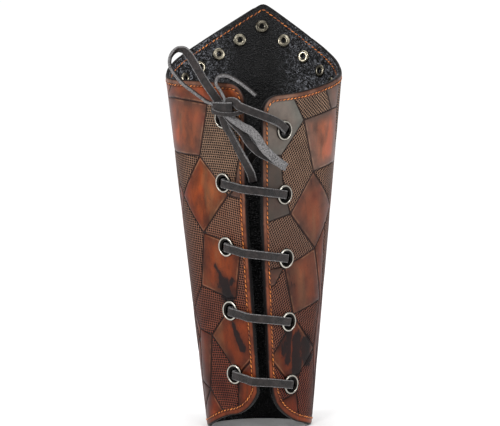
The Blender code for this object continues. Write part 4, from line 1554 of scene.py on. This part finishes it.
def lining_leather(grain):
    """Black split leather with a crinkled grain, its crests towards both sides painted with grey highlights.
    """
    tree, place = new_tree("crinkled_black_leather")
    looks = use_group(tree, grain, {"Place": place, "Scale": 700.0})
    wrinkles = noise(place, 380.0, detail=6.0, roughness=0.7, distortion=1.2)
    tops = between(plus(looks["Height"], wrinkles), 1.1, 1.9)
    base = blended(tops, colour(3, 3, 4), colour(14, 15, 17))
    across = node(tree, "ShaderNodeSeparateXYZ", {0: place}, output="X")
    # Painted highlights: grey on the crinkles' crests towards both sides, none in the middle
    highlight_sides = between(maths("ABSOLUTE", plus(across, -2.0 * MM)), 0.008, 0.034)
    highlight_crests = between(noise(place, 520.0, detail=5.0, roughness=0.68, distortion=1.6), 0.49, 0.66)
    base = blended(times(highlight_crests, highlight_sides), base, colour(134, 136, 143))
    relief = plus(looks["Height"], times(wrinkles, 1.4))
    normal = bump(relief, 0.9, 0.34 * MM)
    rough = scaled(wrinkles, 0.2, 0.44)
    return surface_material("crinkled_black_leather", base, rough, normal, Specular_IOR_Level=0.2)


def lace_leather(grain):
    """Dark lace: smooth grain on one side, grey fibres on the other and along the cut edges."""
    tree, place = new_tree("split_lace_leather")
    looks = use_group(tree, grain, {"Place": place, "Scale": 1300.0})
    fibres = noise(place, 1500.0, detail=6.0, roughness=0.8)
    blotches = noise(place, 260.0, detail=4.0)
    frayed = plus(maths("ABSOLUTE", attribute(tree, "reach")), scaled(fibres, -0.2, 0.2))
    cut = between(frayed, 0.75, 0.92)
    flesh = maths("MAXIMUM", beyond(attribute(tree, "grain_side"), 0.6, 0.9), cut)
    dark = blended(between(blotches, 0.35, 0.65), colour(20, 17, 17), colour(38, 32, 31))
    grey = blended(between(fibres, 0.34, 0.66), colour(42, 41, 43), colour(138, 136, 136))
    base = blended(flesh, dark, grey)
    relief = plus(times(looks["Height"], 0.5), times(fibres, flesh))
    normal = bump(relief, 0.8, 0.3 * MM)
    roughness = scaled(flesh, 0.38, 0.9)
    return surface_material("split_lace_leather", base, roughness, normal, Specular_IOR_Level=0.24)


def waxed_thread():
    """Orange thread whose plies show as fine slanted ridges."""
    tree, place = new_tree("waxed_thread")
    patchy = noise(place, 260.0, detail=4.0)
    base = blended(between(patchy, 0.36, 0.64), colour(126, 60, 18), colour(226, 132, 50))
    waves = {"Vector": place, "Scale": 700.0, "Distortion": 1.0}
    plies = node(tree, "ShaderNodeTexWave", waves, output="Fac")
    return surface_material("waxed_thread", base, 0.5, bump(plies, 0.4, 0.08 * MM))


def aged_metal(name, bright, dark, wear):
    """Nickel, rubbed bright on its rims and darker with age in patches; painted near black as shade round the
    eyelets' bores and on the rivets' cap middles, and darker at the outermost rims.
    """
    tree, place = new_tree(name)
    patches = between(noise(place, 420.0, detail=5.0, roughness=0.65), 0.35, 0.68)
    each = between(noise(place, 38.0, detail=0.0), 0.35, 0.65)
    aged = times(maths("MAXIMUM", times(patches, 0.6), each), wear)
    base = blended(aged, bright, dark)
    # Painted shade: near black inside the rubbed radius, round the eyelets' bores and as a dark disc in the
    # middle of each rivet's closed cap; the outermost rims darker too
    base = blended(attribute(tree, "rubbed_and_bore_shade"), colour(26, 24, 23), base)
    scratches = noise(place, 2600.0, detail=2.0)
    roughness = plus(scaled(patches, 0.16, 0.34), scaled(scratches, 0.0, 0.08))
    return surface_material(name, base, roughness, bump(scratches, 0.12, 0.04 * MM), Metallic=1.0)


def pale_floor():
    """A nearly white floor that fades into the studio's light."""
    _, place = new_tree("pale_floor")
    base = blended(noise(place, 3.0), colour(246, 246, 246), colour(250, 250, 250))
    return surface_material("pale_floor", base, 0.8)


def build_lamps():
    world = bpy.data.worlds.new("studio")
    world.use_nodes = True
    sky = {"Color": (1.0, 1.0, 1.0, 1.0), "Strength": 0.36}
    feed(world.node_tree, world.node_tree.nodes["Background"], sky)
    bpy.context.scene.world = world
    sun = bpy.data.lights.new("overhead", "SUN")
    sun.energy, sun.angle = 2.5, math.radians(70)
    linked("overhead", sun)
    for name, place, size, power in LAMPS:
        light = bpy.data.lights.new(name, "AREA")
        light.size, light.energy = size, power
        lamp = linked(name, light)
        lamp.location = place
        towards = Vector((0.0, 0.0, 0.13)) - Vector(place)
        lamp.rotation_euler = towards.to_track_quat("-Z", "Y").to_euler()


def build_camera():
    """The camera at the photograph's angle."""
    data = bpy.data.cameras.new("camera")
    data.sensor_width = SENSOR
    data.lens = FOCAL / FRAME_WIDTH * SENSOR
    data.clip_start, data.clip_end = 0.05, 60.0
    camera = linked("camera", data)
    turn = Matrix((CAMERA_RIGHT, CAMERA_UP, -VIEW)).transposed().to_4x4()
    turn.translation = EYE
    camera.matrix_world = turn
    bpy.context.scene.camera = camera


def build_stage():
    bm = bmesh.new()
    bmesh.ops.create_circle(bm, cap_ends=True, segments=96, radius=14.0)
    meshed("floor", bm, pale_floor())
    build_lamps()
    build_camera()
    bpy.context.scene.view_settings.view_transform = "Standard"


def main():
    build_stage()
    grain = grain_group()
    lace = lace_leather(grain)
    leather, black, thread = tooled_leather(grain), lining_leather(grain), waxed_thread()
    nickel = aged_metal("aged_nickel", colour(196, 192, 182), colour(104, 99, 92), 0.5)
    washer = aged_metal("aged_washer_nickel", colour(178, 171, 152), colour(92, 86, 76), 0.6)

    eyelets = {(side, row): eyelet_spot(side, row) for side in (LEFT, RIGHT) for row in range(EYELET_ROWS)}
    rivets = {step: rivet_spot(step) for step in range(-RIVETS_A_SIDE, RIVETS_A_SIDE + 1)}
    build_laces(lace, eyelets)
    build_shell(leather, eyelets.values(), rivets.values())
    build_lining(black, eyelets.values(), rivets.values())
    build_stitches("stitches_outside", thread, 0.0, 1.0)
    build_stitches("stitches_inside", thread, LINING_FACE, -1.0)
    for side, row in eyelets:
        build_eyelet(side, row, nickel)
    for step in rivets:
        build_rivet(step, washer)


main()
